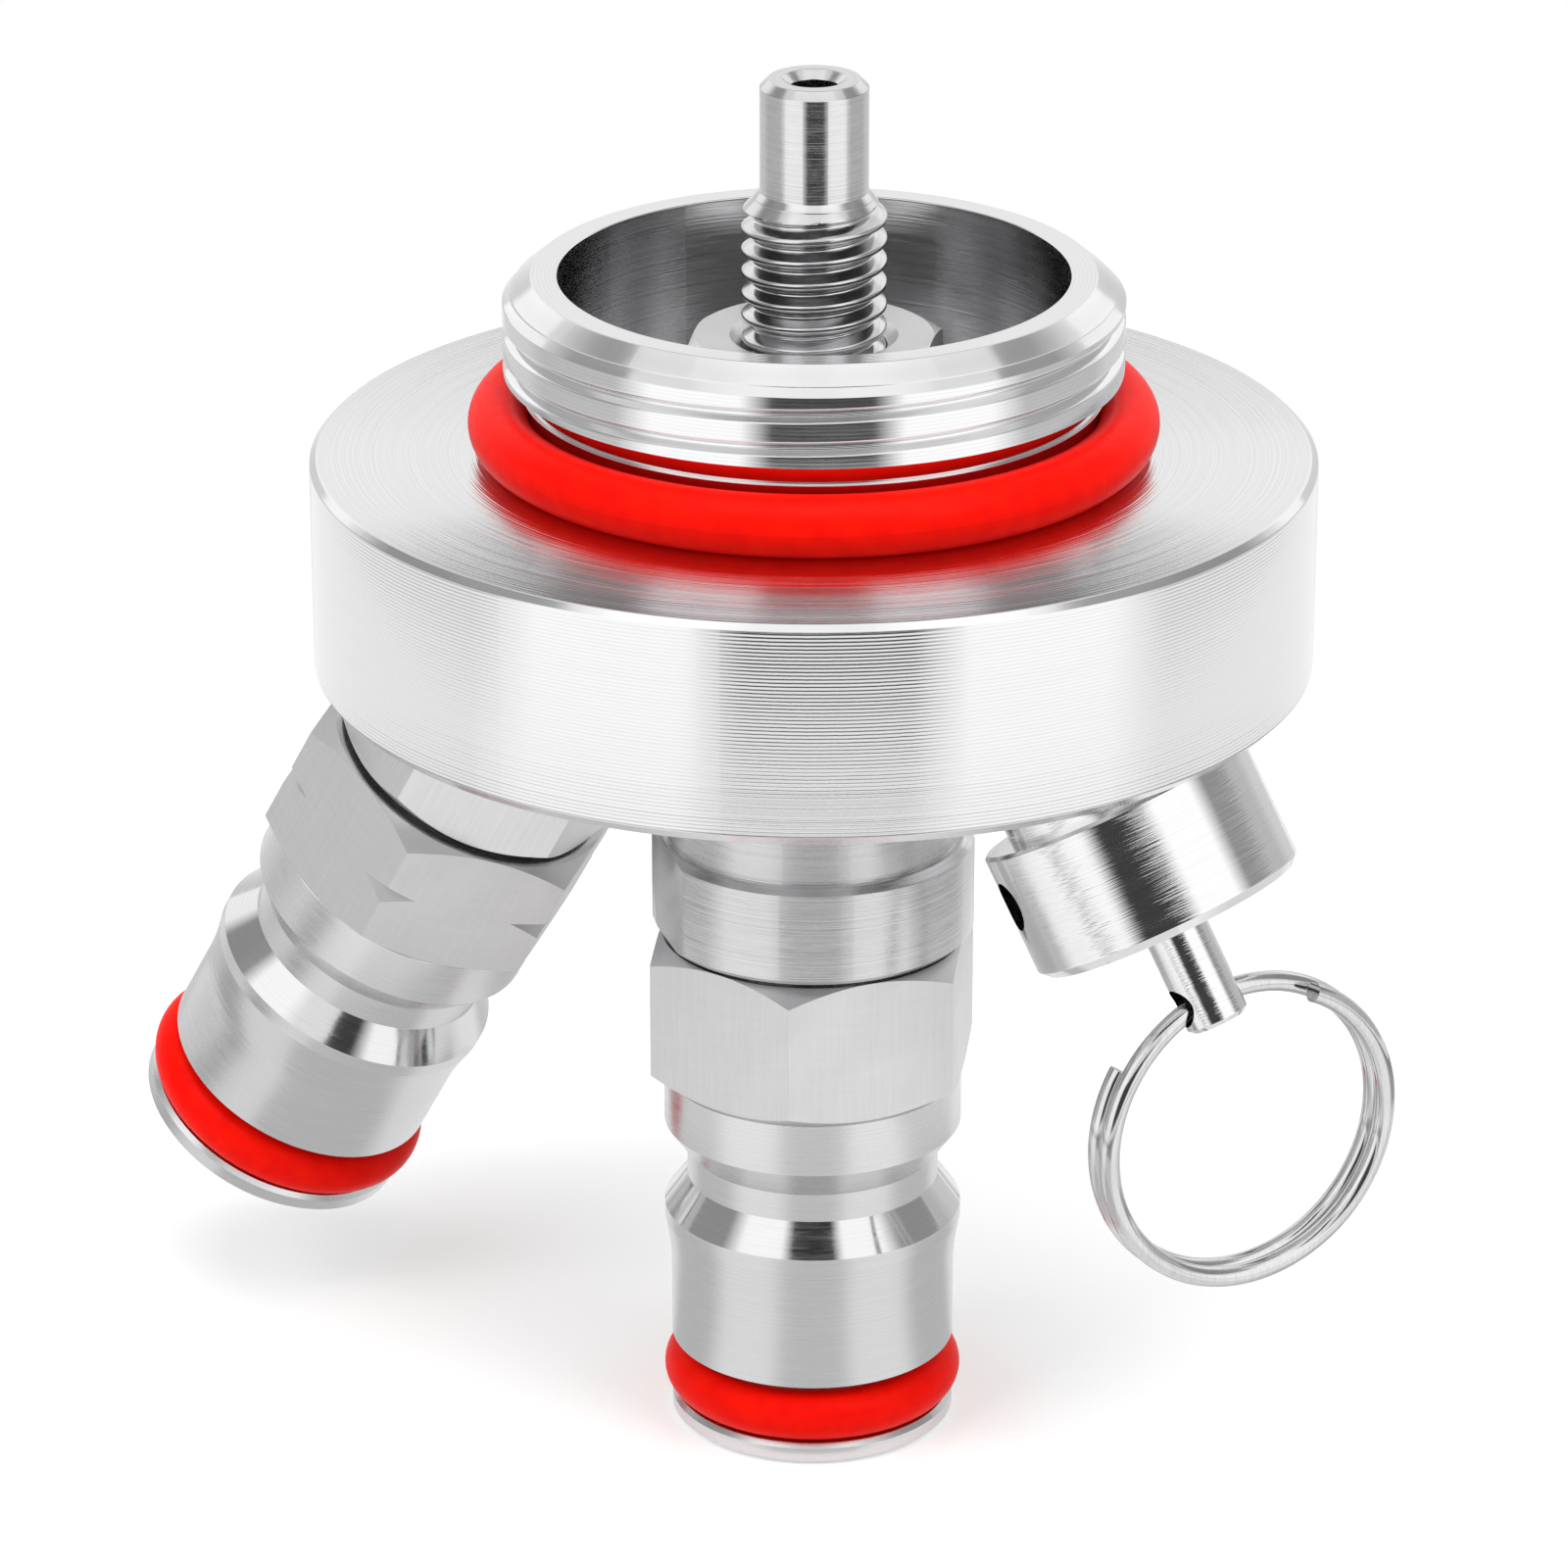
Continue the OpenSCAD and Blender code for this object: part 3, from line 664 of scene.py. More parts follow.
def dress(piece: bpy.types.Object, *materials: bpy.types.Material) -> None:
    """Gives a piece its materials, the first one on all its faces.

    Args:
        piece: Piece to dress.
        materials: Its materials in order.
    """
    piece.data.materials.clear()
    for material in materials:
        piece.data.materials.append(material)


def carry_on(bm: bmesh.types.BMesh, rim: list, outline: Outline) -> list:
    """Carries an open circular edge on along an outline.

    Args:
        bm: Mesh that the edge belongs to.
        rim: Edges of the open circle.
        outline: Next points as radius and height.

    Returns:
        The last open edges.
    """
    for radius, height in outline:
        made = bmesh.ops.extrude_edge_only(bm, edges=rim)["geom"]
        rim = [e for e in made if isinstance(e, bmesh.types.BMEdge) and len(e.link_faces) == 1]
        for vert in {v for e in rim for v in e.verts}:
            now = math.hypot(vert.co.x, vert.co.y)
            vert.co = (vert.co.x * radius / now, vert.co.y * radius / now, height)
    return rim


def cut_away(piece: bpy.types.Object, cutters: list[bpy.types.Object]) -> None:
    """Takes cutter shapes out of a piece and removes the cutters.

    Args:
        piece: Piece to cut.
        cutters: Closed shapes in the same frame.
    """
    for cutter in cutters:
        modifier = piece.modifiers.new("cut", "BOOLEAN")
        modifier.operation = "DIFFERENCE"
        modifier.solver = "EXACT"
        modifier.object = cutter
    graph = bpy.context.evaluated_depsgraph_get()
    done = bpy.data.meshes.new_from_object(piece.evaluated_get(graph))
    piece.modifiers.clear()
    old, piece.data = piece.data, done
    bpy.data.meshes.remove(old)
    for cutter in cutters:
        mesh = cutter.data
        bpy.data.objects.remove(cutter)
        bpy.data.meshes.remove(mesh)
    bm = bmesh.new()
    bm.from_mesh(done)
    bmesh.ops.remove_doubles(bm, verts=bm.verts, dist=MERGE * MM)
    soften(bm)
    bm.to_mesh(done)
    bm.free()


@dataclass(frozen=True)
class ScrewThread:
    """Right-handed thread as a band that a turned outline carries on from at both ends.

    Lengths are in millimetres; crest_w and root_w are shares of the pitch. The thread grows to full
    depth over low_run and high_run, after a plain land at each end.
    """

    crest_r: float
    root_r: float
    pitch: float
    low: float
    high: float
    low_run: float
    high_run: float
    phase: float
    crest_w: float
    root_w: float
    rounding: float
    steps: int
    detail: float = 0.16
    end_cuts: tuple[float, ...] = (0.0, 0.12, 0.3, 0.6, 1.0)
    land: float = 0.06

    def profile(self) -> Outline:
        """Draws one pitch of the thread.

        Returns:
            Its outline from the middle of one root up to the next, without the last point.
        """
        root, crest = self.root_w / 2, (1 - self.crest_w) / 2
        marks = [
            (self.root_r, -root), (self.root_r, root), (self.crest_r, crest),
            (self.crest_r, 1 - crest), (self.root_r, 1 - root), (self.root_r, 1 + root),
        ]
        soft = eased([(r, t * self.pitch) for r, t in marks], self.rounding)
        inside = [(r, z) for r, z in soft if LEVEL < z < self.pitch - LEVEL]
        line = [(self.root_r, 0.0)]
        for r, z in inside + [(self.root_r, self.pitch)]:
            last_r, last_z = line[-1]
            parts = math.ceil(math.hypot(r - last_r, z - last_z) / self.detail)
            for i in range(1, parts + 1):
                line.append((last_r + (r - last_r) * i / parts, last_z + (z - last_z) * i / parts))
        return line[:-1]

    def limit(self, z: float) -> float:
        """Limits the thread where it starts and ends.

        Args:
            z: Height on the thread's axis.

        Returns:
            The greatest radius at that height.
        """
        depth = self.crest_r - self.root_r
        grown = (z - self.low - self.land) / self.low_run * depth
        left = (self.high - self.land - z) / self.high_run * depth
        return self.root_r + max(0.0, min(depth, grown, left))

    def band(self) -> bmesh.types.BMesh:
        """Winds the thread.

        Returns:
            The helical band, cut level at both ends, where it is as deep as its root.
        """
        bm = bmesh.new()
        one = self.profile()
        # Two pitches more at each end leave enough to cut level
        first = math.floor((self.low - self.phase) / self.pitch) - 2
        count = math.ceil((self.high - self.low) / self.pitch) + 4
        line = [(r, self.phase + (first + k) * self.pitch + z) for k in range(count) for r, z in one]
        spun(bm, chain(bm, line), self.steps, rise=self.pitch)
        bmesh.ops.remove_doubles(bm, verts=bm.verts, dist=MERGE)
        for level, up, run in ((self.low, -1, self.low_run), (self.high, 1, self.high_run)):
            cuts = [level] + [level - up * (self.land + share * run) for share in self.end_cuts]
            for number, height in enumerate(cuts):
                bmesh.ops.bisect_plane(
                    bm, geom=bm.verts[:] + bm.edges[:] + bm.faces[:], dist=1e-5,
                    plane_co=(0, 0, height), plane_no=(0, 0, up), clear_outer=number == 0,
                )
        for vert in bm.verts:
            radius = math.hypot(vert.co.x, vert.co.y)
            keep = min(radius, self.limit(vert.co.z)) / radius
            vert.co.x *= keep
            vert.co.y *= keep
        return bm

    def rim(self, bm: bmesh.types.BMesh, level: float) -> list:
        """Finds the open edges of the band at one of its ends.

        Args:
            bm: Mesh of the band.
            level: Height of that end.

        Returns:
            The edges.
        """
        return [
            e for e in bm.edges
            if len(e.link_faces) == 1 and all(abs(v.co.z - level) < LEVEL for v in e.verts)
        ]

    def grow(self, above: Outline, below: Outline, rounds: tuple[float, float]) -> bmesh.types.BMesh:
        """Makes the band and carries it on at both ends, until the ends meet.

        Args:
            above: Outline from the upper end on.
            below: Outline from the lower end on.
            rounds: Radius of the rounds of both outlines.

        Returns:
            The closed mesh, in millimetres on its own axis.
        """
        bm = self.band()
        ends = []
        for level, way, radius in zip((self.high, self.low), (above, below), rounds):
            way = eased([(self.root_r, level), *way], radius)
            ends += carry_on(bm, self.rim(bm, level), way[1:])
        bmesh.ops.bridge_loops(bm, edges=ends)
        bmesh.ops.remove_doubles(bm, verts=bm.verts, dist=MERGE)
        return bm


@dataclass
class Lid:
    """Turned lid with its threaded spigot, cup and two slanted ports."""

    axis: PartAxis = LEVELS.upright()
    bore_r: float = 13.9
    lip_r: float = 15.35
    spigot_h: float = 10.0
    seat_r: float = 15.5
    relief_r: float = 15.87
    neck_r: float = 15.71
    floor: float = -1.2
    hole_r: float = 4.2
    thread: ScrewThread = ScrewThread(
        crest_r=16.9, root_r=16.42, pitch=1.82, low=4.58, high=9.12, low_run=0.1, high_run=0.42,
        phase=0.62, crest_w=0.6, root_w=0.08, rounding=0.1, steps=192,
    )
    port_steps: int = 96
    # Passage, screwed neck and spot face along a port's own axis
    port_plug: tuple[tuple[float, float], ...] = (
        (0, -14.0), (1.8, -14.0), (1.8, -8.84), (5.0, -8.84),
        (5.0, -3.84), (6.3, -3.84), (6.3, 8.8), (0, 8.8),
    )

    def port_cutters(self) -> list[bpy.types.Object]:
        """Makes the shapes of both ports.

        Returns:
            Two stepped plugs, each along its own axis.
        """
        plugs = []
        for side in (1, -1):
            bm = turned(list(self.port_plug), self.port_steps)
            plugs.append(finish_piece(bm, f"port_plug_{side}", LEVELS.port(side)))
        return plugs

    def finish_parts(self, piece: bpy.types.Object) -> None:
        """Puts the second material on the sealing face and the third in the cup and the holes.

        Args:
            piece: The lid piece with its three materials.
        """
        level, near, inner = LEVELS.face * MM, 0.05 * MM, (self.bore_r + 0.02) * MM
        for face in piece.data.polygons:
            if face.normal.z > 0.99 and abs(face.center.z - level) < near:
                face.material_index = 1
            elif face.center.xy.length < inner:
                face.material_index = 2

    def build(self) -> bpy.types.Object:
        """Turns the lid and cuts its ports.

        Returns:
            The lid piece.
        """
        edge, under = LEVELS.lid_r, -LEVELS.lid_h
        way = [
            (self.lip_r, self.spigot_h), (self.bore_r, self.spigot_h), (self.bore_r, self.floor),
            (self.hole_r, self.floor), (self.hole_r, under), (edge - 0.6, under), (edge, under + 0.6),
            (edge, -0.35), (edge - 0.35, 0), (self.seat_r, 0), (self.seat_r, 1.0),
        ]
        undercut = [
            (self.thread.root_r - 0.36, self.thread.low - 0.06), (self.neck_r, 3.5), (self.relief_r, 3.43),
            (self.relief_r, 3.36), (self.seat_r, 3.3), (self.seat_r, 2.2),
        ]
        # The two ends meet behind the seal
        piece = finish_piece(self.thread.grow(way, undercut, (0.08, 0.03)), "lid_turned", self.axis)
        cut_away(piece, self.port_cutters())
        return piece


@dataclass
class Stem:
    """Hollow stem: hose tip, metric thread, neck, collar with two flats and stub."""

    axis: PartAxis = LEVELS.upright()
    thread: ScrewThread = ScrewThread(
        crest_r=3.95, root_r=3.25, pitch=1.24, low=-1.6, high=14.35, low_run=0.4, high_run=0.75,
        phase=0.08, crest_w=0.2, root_w=0.16, rounding=0.14, steps=96,
    )
    neck_r: float = 3.95
    flat_off: float = 8.5
    flat_turn: float = 48.0
    flat_z: float = -25.425
    block: tuple[float, float, float] = (6.0, 24.0, 5.67)

    def flats(self) -> list[bpy.types.Object]:
        """Makes the shapes that leave wrench flats on the collar.

        Returns:
            Two blocks.
        """
        blocks = []
        for side in (0, 180):
            bm = bmesh.new()
            bmesh.ops.create_cube(bm, size=1.0)
            bmesh.ops.scale(bm, vec=self.block, verts=bm.verts)
            bmesh.ops.translate(bm, vec=(self.flat_off + self.block[0] / 2, 0, self.flat_z), verts=bm.verts)
            spin = Matrix.Rotation(math.radians(self.flat_turn + side), 3, "Z")
            bmesh.ops.rotate(bm, cent=(0, 0, 0), matrix=spin, verts=bm.verts)
            blocks.append(finish_piece(bm, f"collar_flat_{side}", self.axis))
        return blocks

    def build(self) -> bpy.types.Object:
        """Turns the stem and cuts its flats.

        Returns:
            The stem piece.
        """
        tip = [(2.95, 14.7), (2.95, 20.45), (2.5, 20.9), (1.75, 20.9)]
        bore = [(1.3, 20.45), (1.3, -24.4), (2.5, -25.4), (2.5, -37.01)]
        stub = [(6.3, -37.01), (6.6, -36.71), (6.6, -28.25)]
        collar = [
            (8.725, -28.25), (9.025, -27.95), (9.025, -22.9), (8.425, -22.6), (8.15, -22.6), (8.15, -12.3),
        ]
        neck = [(self.neck_r, -12.3), (self.neck_r, -8.0)]
        below = [(self.thread.root_r, -2.0), (self.neck_r, -2.2), (self.neck_r, -6.0)]
        # The two ends meet inside the lid's hole
        bm = self.thread.grow(tip + bore + stub + collar + neck, below, (0.06, 0.06))
        piece = finish_piece(bm, "stem_turned", self.axis)
        cut_away(piece, self.flats())
        return piece


@dataclass
class PullRing:
    """Split ring: one wire wound nearly twice round, through the cross hole of the pull stem."""

    ring_r: float = 8.625
    wire_r: float = 0.575
    turns: float = 1.77
    pitch: float = 1.196
    sides: int = 24
    steps: int = 140
    # Middle of the cross hole, the way down to the ring's own middle, and the way of the hole
    hang: tuple[float, float, float] = (24.9382, 0.0631, -33.8688)
    down: tuple[float, float, float] = (0.1487, 0.2452, -0.958)
    cross: tuple[float, float, float] = (0.4967, 0.8192, 0.2868)

    def build(self) -> bpy.types.Object:
        """Winds the ring and hangs it in the cross hole.

        Returns:
            The ring piece.
        """
        down, cross = Vector(self.down).normalized(), Vector(self.cross).normalized()
        rise = self.pitch * self.turns
        bm = wire_end(self.wire_r, self.sides, self.ring_r, -rise / 2)
        # Half of the winding lies on each side of the cross hole
        start = Matrix.Rotation(-math.pi * self.turns, 3, "Z")
        bmesh.ops.rotate(bm, cent=(0, 0, 0), matrix=start, verts=bm.verts)
        spun(bm, bm.faces[:], round(self.steps * self.turns), self.turns, rise)
        # Own X points from the ring's centre up to the cross hole
        basis = Matrix((-down, -cross, down.cross(cross).normalized())).transposed()
        centre = Matrix.Translation(Vector(self.hang) + self.ring_r * down)
        bmesh.ops.transform(bm, matrix=centre @ basis.to_4x4(), verts=bm.verts)
        return finish_piece(bm, "ring_wound")


@dataclass
class CoilSpring:
    """Compression spring with a closed turn at each end, between two heights on its own axis.

    It stands for the CAD node of its name.
    """

    name: str
    axis: PartAxis
    joint: str
    stroke: float = 3.0
    coil_r: float = 3.4
    wire_r: float = 0.4
    low: float = 8.48
    high: float = 19.39
    fixed: float = 8.48
    turns: int = 6
    sides: int = 16
    steps: int = 48

    def build(self) -> bpy.types.Object:
        """Winds the spring.

        Returns:
            The spring piece.
        """
        bm = wire_end(self.wire_r, self.sides, self.coil_r, self.low + self.wire_r)
        closed, wound = 2 * self.wire_r, self.turns - 2
        geom = bm.faces[:]
        for turns, rise in ((1, closed), (wound, self.high - self.low - 3 * closed), (1, closed)):
            geom = spun(bm, geom, self.steps * turns, turns, rise)
        return finish_piece(bm, f"{self.name}_coil", self.axis)

    def shorten(self, piece: bpy.types.Object) -> None:
        """Gives the spring piece a mesh of its own.

        Args:
            piece: The spring piece.
        """
        matrix = self.axis.matrix()
        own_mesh(piece)


@dataclass(frozen=True)
class MirrorBand:
    """Band of boards and gaps round the object that only reflections see.

    The line gives the band's outline as radius and height. The levels run from the camera's side to the
    far side: gap, box, side, rear box and rear. The stops are where each level starts and ends, in
    degrees from the camera's side.
    """

    name: str
    line: tuple[tuple[float, float], ...]
    levels: tuple[float, float, float, float, float]
    turn: float = 0.0

    stops: tuple[float, ...] = (0, 18, 29, 63, 78, 118, 130, 157, 168, 180)
    brightest: float = 1.5

    def material(self, heading: float) -> bpy.types.Material:
        """Makes the glowing material of the band.

        Args:
            heading: Direction of the camera's side in radians.

        Returns:
            The new material.
        """
        material, bench = new_material(self.name, bare=True)
        x, y, _ = bench.split(bench.object_place())
        angle = bench.math("ARCTAN2", x, bench.math("MULTIPLY", y, -1.0))
        off = bench.math("SUBTRACT", angle, heading + math.radians(self.turn))
        either_side = bench.math("ABSOLUTE", bench.math("WRAP", off, math.pi, -math.pi))
        bands = bench.add("ShaderNodeValToRGB", {"Fac": bench.math("MULTIPLY", either_side, 1 / math.pi)})
        colours = bands.color_ramp.elements
        colours.remove(colours[1])
        values = [level / self.brightest for level in self.levels for _ in range(2)]
        for spot, value in zip(self.stops, values):
            stop = colours.new(spot / 180) if spot else colours[0]
            stop.color = (value, value, value, 1)
        glow = bench.add("ShaderNodeEmission", {"Color": bands.outputs["Color"], "Strength": self.brightest})
        bench.add("ShaderNodeOutputMaterial", {"Surface": glow.outputs[0]})
        material.cycles.emission_sampling = "NONE"
        return material


@dataclass
class Studio:
    """White table, soft lamps, reflected room and the camera.

    Lengths are in millimetres, but those of the lamps and the fade of the table are in metres.
    """

    ground: float = -64.9
    table_half: float = 3000.0
    paper: float = 0.8
    paper_glow: float = 0.34
    fade: tuple[float, float] = (0.09, 0.16)
    room_light: float = 0.45
    eye: tuple[float, float, float] = (190.61, -320.38, 125.43)
    aim: tuple[float, float, float] = (-1.39, -0.84, -26.47)
    focal_px: float = 7386.0
    frame_px: float = 1600.0
    sensor: float = 36.0
    heading: float = math.radians(31)
    lamp_off: float = 0.6

    def camera(self) -> None:
        """Sets the scene's camera where the photo was taken from."""
        data = bpy.data.cameras.new("photo_camera")
        data.sensor_width = self.sensor
        data.lens = self.focal_px / self.frame_px * self.sensor
        data.clip_start, data.clip_end = 0.01, 20.0
        camera = bpy.data.objects.new("photo_camera", data)
        bpy.context.scene.collection.objects.link(camera)
        eye, aim = Vector(self.eye) * MM, Vector(self.aim) * MM
        camera.location = eye
        camera.rotation_euler = (aim - eye).to_track_quat("-Z", "Y").to_euler()
        bpy.context.scene.camera = camera

    def lamp(self, name: str, azimuth: float, elevation: float, size: float, power: float) -> None:
        """Hangs a soft square lamp that points at the object.

        Args:
            name: Name of the lamp.
            azimuth: Degrees from the camera's side, positive to the camera's right.
            elevation: Degrees above the horizon.
            size: Side of the lamp in metres.
            power: Watts.
        """
        data = bpy.data.lights.new(name, "AREA")
        data.shape, data.size, data.energy = "SQUARE", size, power
        lamp = bpy.data.objects.new(name, data)
        a, e = math.radians(azimuth) + self.heading, math.radians(elevation)
        away = Vector((math.sin(a) * math.cos(e), -math.cos(a) * math.cos(e), math.sin(e)))
        lamp.location = away * self.lamp_off
        lamp.rotation_euler = (-lamp.location).to_track_quat("-Z", "Y").to_euler()
        lamp.visible_glossy = False
        bpy.context.scene.collection.objects.link(lamp)

    def table_paper(self) -> bpy.types.Material:
        """Makes the table's material.

        Returns:
            A material that shows shadows near the object and is plain white further out.
        """
        material, bench = new_material("white_table", bare=True)
        white = (self.paper, self.paper, self.paper, 1)
        paper = bench.add("ShaderNodeBsdfDiffuse", {"Color": white}).outputs[0]
        glow = bench.add("ShaderNodeEmission", {"Strength": self.paper_glow}).outputs[0]
        near = bench.add("ShaderNodeAddShader", {0: paper, 1: glow}).outputs[0]
        far = bench.add("ShaderNodeEmission", {"Strength": 1.0}).outputs[0]
        far_off = bench.add("ShaderNodeVectorMath", {0: bench.object_place()}, operation="LENGTH")
        limits = {"Value": far_off.outputs["Value"], "From Min": self.fade[0], "From Max": self.fade[1]}
        fade = bench.add("ShaderNodeMapRange", limits, interpolation_type="SMOOTHSTEP").outputs["Result"]
        seen = bench.seen()
        above = bench.blend(bench.math("MULTIPLY", seen, fade), bench.blend(seen, paper, near), far)
        # From below the table lets the camera through
        back = bench.add("ShaderNodeNewGeometry").outputs["Backfacing"]
        under = bench.math("MULTIPLY", back, bench.add("ShaderNodeLightPath").outputs["Is Camera Ray"])
        clear = bench.add("ShaderNodeBsdfTransparent").outputs[0]
        bench.add("ShaderNodeOutputMaterial", {"Surface": bench.blend(under, above, clear)})
        return material

    def table(self) -> None:
        """Lays the white table under the object."""
        bm = bmesh.new()
        bmesh.ops.create_grid(bm, x_segments=8, y_segments=8, size=self.table_half)
        bmesh.ops.translate(bm, vec=(0, 0, self.ground), verts=bm.verts)
        piece = finish_piece(bm, "white_table")
        if piece.data.polygons[0].normal.z < 0:
            piece.data.flip_normals()
        dress(piece, self.table_paper())

    def mirror_band(self, band: MirrorBand) -> None:
        """Stands one band of the reflected room round the object.

        Args:
            band: The band.
        """
        piece = finish_piece(turned(list(band.line), 48), band.name)
        dress(piece, band.material(self.heading))
        for flag in ("visible_camera", "visible_diffuse", "visible_shadow", "visible_transmission"):
            setattr(piece, flag, False)

    def world(self) -> None:
        """Sets the white surroundings and the plain light they give."""
        world = bpy.data.worlds.new("white_room")
        bpy.context.scene.world = world
        world.use_nodes = True
        bench = NodeBench(world.node_tree)
        level = bench.ramp(bench.seen(), FULL, (self.room_light, 1.0))
        bench.feed(world.node_tree.nodes["Background"], {"Color": (1, 1, 1, 1), "Strength": level})

    def build(self) -> None:
        """Sets up the whole studio."""
        self.camera()
        self.world()
        self.table()
        self.lamp("top_box", 0, 78, 0.5, 2.2)
        self.lamp("left_box", -55, 35, 0.35, 1.4)
        self.lamp("right_box", 55, 35, 0.35, 1.4)
        low = self.ground + 0.3
        for band in (
            MirrorBand("table_inner", ((9, low), (45, low)), (0.66, 0.95, 0.60, 0.90, 0.60)),
            MirrorBand("table_second", ((45, low), (78, low)), (0.80, 1.12, 0.88, 1.00, 0.70)),
            MirrorBand("table_third", ((78, low), (98, low)), (0.40, 1.20, 0.45, 0.80, 0.50)),
            MirrorBand("table_fourth", ((98, low), (119, low)), (0.27, 0.55, 0.33, 0.55, 0.35)),
            MirrorBand("table_outer", ((119, low), (184, low)), (1.02, 1.16, 1.00, 1.00, 0.55)),
            MirrorBand("wall_low", ((184, low), (330, low), (330, 60)), (0.06, 1.25, 0.60, 0.75, 0.90), 3.0),
            MirrorBand("wall_middle", ((330, 60), (330, 190)), (1.00, 1.30, 0.35, 1.15, 1.00)),
            MirrorBand("wall_upper", ((330, 190), (330, 265)), (1.05, 1.30, 0.35, 0.90, 0.15)),
            MirrorBand("wall_high", ((330, 265), (285, 362)), (0.03, 1.30, 0.40, 0.90, 0.12)),
            MirrorBand("wall_crown", ((285, 362), (230, 480)), (1.10, 1.30, 0.95, 0.70, 0.12)),
            MirrorBand("roof", ((230, 480), (0, 560)), (1.10, 1.15, 1.05, 0.50, 0.45)),
        ):
            self.mirror_band(band)
        bpy.context.scene.view_settings.view_transform = "Standard"


LID_LATHE = SteelFinish(
    Mark.TURNED, tone=0.80, spread=0.06, gloss=(0.09, 0.14), feed=0.205, wander=0.03, evenness=0.85,
    relief=0.006, zones=(Zone(0.5, 8.9, -0.02, 0.1), Zone(9.0, 11.0, 0.0, 1.6)),
)
LID_FACE = SteelFinish(
    Mark.TURNED, tone=0.80, spread=0.08, gloss=(0.10, 0.18), feed=0.14, wander=0.05, relief=0.02, lean=0.15
)
LID_CUP = SteelFinish(
    Mark.TURNED, tone=0.74, spread=0.14, gloss=(0.12, 0.22), feed=0.15, wander=0.08, relief=0.006, scratch=0.7
)
STEM = SteelFinish(
    Mark.TURNED, tone=0.70, spread=0.12, gloss=(0.10, 0.20), feed=0.11, scratch=0.8,
    zones=(Zone(-28.3, -22.5, 0.06, 2.5), Zone(-22.5, -12.3, 0.14)),
)
POST = SteelFinish(
    Mark.TURNED, tone=0.73, spread=0.06, gloss=(0.22, 0.30), feed=0.10, relief=0.0014,
    zones=(Zone(14.88, 16.66, -0.17, 0.25),), bar=Zone(0.0, 8.25),
)
VALVE = SteelFinish(Mark.TURNED, spread=0.12, gloss=(0.10, 0.20), feed=0.09, relief=0.003)
RELIEF = SteelFinish(
    Mark.TURNED, tone=0.80, spread=0.08, gloss=(0.05, 0.12), feed=0.12, wander=0.08, relief=0.007, scratch=0.5
)
ADAPTER = SteelFinish(Mark.DRAWN, tone=0.82, gloss=(0.34, 0.42))
NUT = replace(ADAPTER, tone=0.92)
WIRE = SteelFinish(Mark.DRAWN, tone=0.70, spread=0.12, gloss=(0.08, 0.14), relief=0.002)
RED = RubberFinish((0.97, 0.007, 0.001), (0.90, 0.004, 0.001), (0.34, 0.44), 0.07)
BLACK = RubberFinish((0.03, 0.03, 0.032), (0.02, 0.02, 0.022), (0.5, 0.65), 0.35)


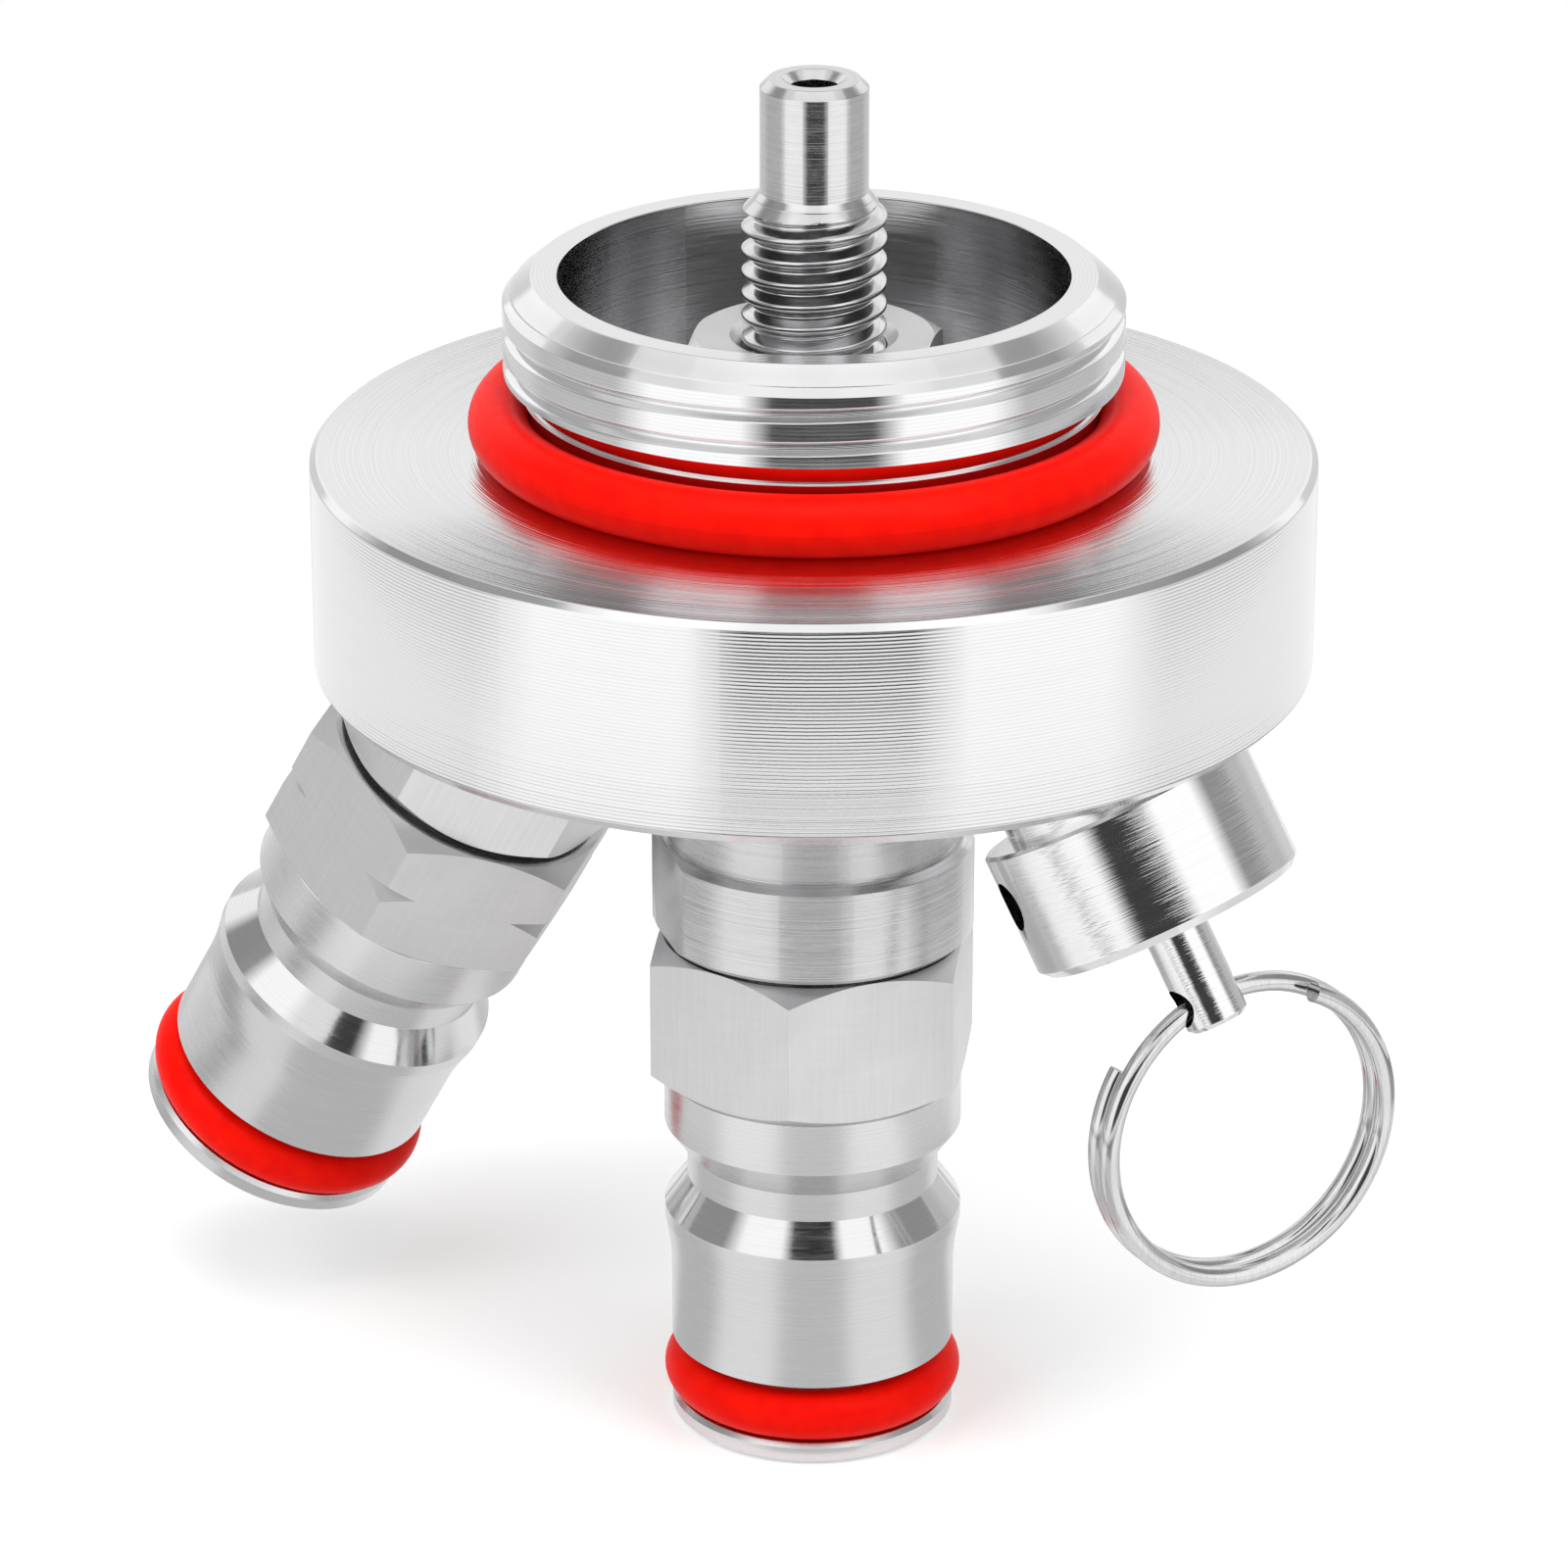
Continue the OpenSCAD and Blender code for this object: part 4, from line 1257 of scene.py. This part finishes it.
@dataclass
class KegSpear:
    """The whole fitting: its own pieces and the CAD nodes that it dresses."""

    frame: dict
    groups: ShaderParts = field(default_factory=ShaderParts)
    upright: PartAxis = LEVELS.upright()
    liquid: PartAxis = LEVELS.hanging(28.55)
    gas: PartAxis = LEVELS.port(-1, 12.6)
    relief: PartAxis = LEVELS.port(1)

    def own(
        self, piece: bpy.types.Object, node: str, body: Body, slot: Slot, axis: PartAxis,
        **finishes: SteelFinish,
    ) -> None:
        """Dresses a new piece, hangs it on a body of the frame and hides the CAD node that it stands for.

        Args:
            piece: The new piece.
            node: CAD node that it stands for.
            body: Body it rides on.
            slot: Record slot of its finish; not used.
            axis: Axis that the marks follow.
            finishes: Its finishes in order, by the names of their materials.
        """
        dress(piece, *(finish.build(name, self.groups, axis) for name, finish in finishes.items()))
        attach(piece, body.value)
        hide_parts(node)
        log.info("%s: %d faces", piece.name, len(piece.data.polygons))

    def dress_nodes(self, material: bpy.types.Material, *names: str) -> None:
        """Dresses CAD nodes.

        Args:
            material: Material for all of them.
            names: Names of the nodes.
        """
        for name in names:
            dress(self.frame["nodes"][name], material)
            log.info("%s: CAD node with %s", name, material.name)

    def add_turned(self) -> None:
        """Adds the lid with its three finishes and the stem."""
        lid = Lid()
        piece = lid.build()
        self.own(
            piece, "lid", Body.HEAD, Slot.SATIN, self.upright,
            lid_steel=LID_LATHE, lid_face_steel=LID_FACE, lid_cup_steel=LID_CUP,
        )
        lid.finish_parts(piece)
        self.own(Stem().build(), "liquid_stem", Body.HEAD, Slot.SATIN, self.upright, stem_steel=STEM)

    def add_wires(self) -> None:
        """Adds the pull ring and the three springs."""
        self.own(PullRing().build(), "pull_ring", Body.RING, Slot.POLISHED, self.upright, ring_wire=WIRE)
        for spring in (
            CoilSpring("liquid_spring", self.liquid, "liquid_valve_slide"),
            CoilSpring("gas_spring", self.gas, "gas_valve_slide"),
            CoilSpring(
                "relief_spring", self.relief, "relief_pull", stroke=1.8, coil_r=2.96, wire_r=0.35,
                low=1.87, high=9.88, fixed=9.88,
            ),
        ):
            piece = spring.build()
            wire = {f"{spring.name}_wire": WIRE}
            self.own(piece, spring.name, Body.HEAD, Slot.SPRING, spring.axis, **wire)
            spring.shorten(piece)

    def dress_rest(self) -> None:
        """Dresses the CAD nodes that show as they are."""
        groups = self.groups
        self.dress_nodes(RED.build("red_silicone", groups), "neck_seal", "liquid_ring_seal", "gas_ring_seal")
        self.dress_nodes(
            BLACK.build("black_rubber", groups), "stem_seal", "liquid_stub_seal", "liquid_valve_rubber",
            "gas_port_seal", "gas_stub_seal", "gas_valve_rubber", "relief_port_seal", "relief_disc",
        )
        for finish, axis, names in (
            (NUT, self.upright, ("stem_washer", "stem_nut")),
            (POST, self.liquid, ("liquid_post",)),
            (POST, self.gas, ("gas_post",)),
            (ADAPTER, self.gas, ("gas_adapter",)),
            (VALVE, self.liquid, ("liquid_valve",)),
            (VALVE, self.gas, ("gas_valve",)),
            (RELIEF, self.relief, ("relief_body", "relief_cap", "relief_stem")),
        ):
            self.dress_nodes(finish.build(f"{names[0]}_steel", groups, axis), *names)

    def build(self) -> None:
        """Builds and dresses every piece."""
        self.add_turned()
        self.add_wires()
        self.dress_rest()


def main() -> None:
    """Builds the studio and the fitting."""
    logging.basicConfig(level=logging.INFO, format="%(name)s: %(message)s")
    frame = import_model()
    Studio().build()
    KegSpear(frame).build()


if __name__ == "__main__":
    main()
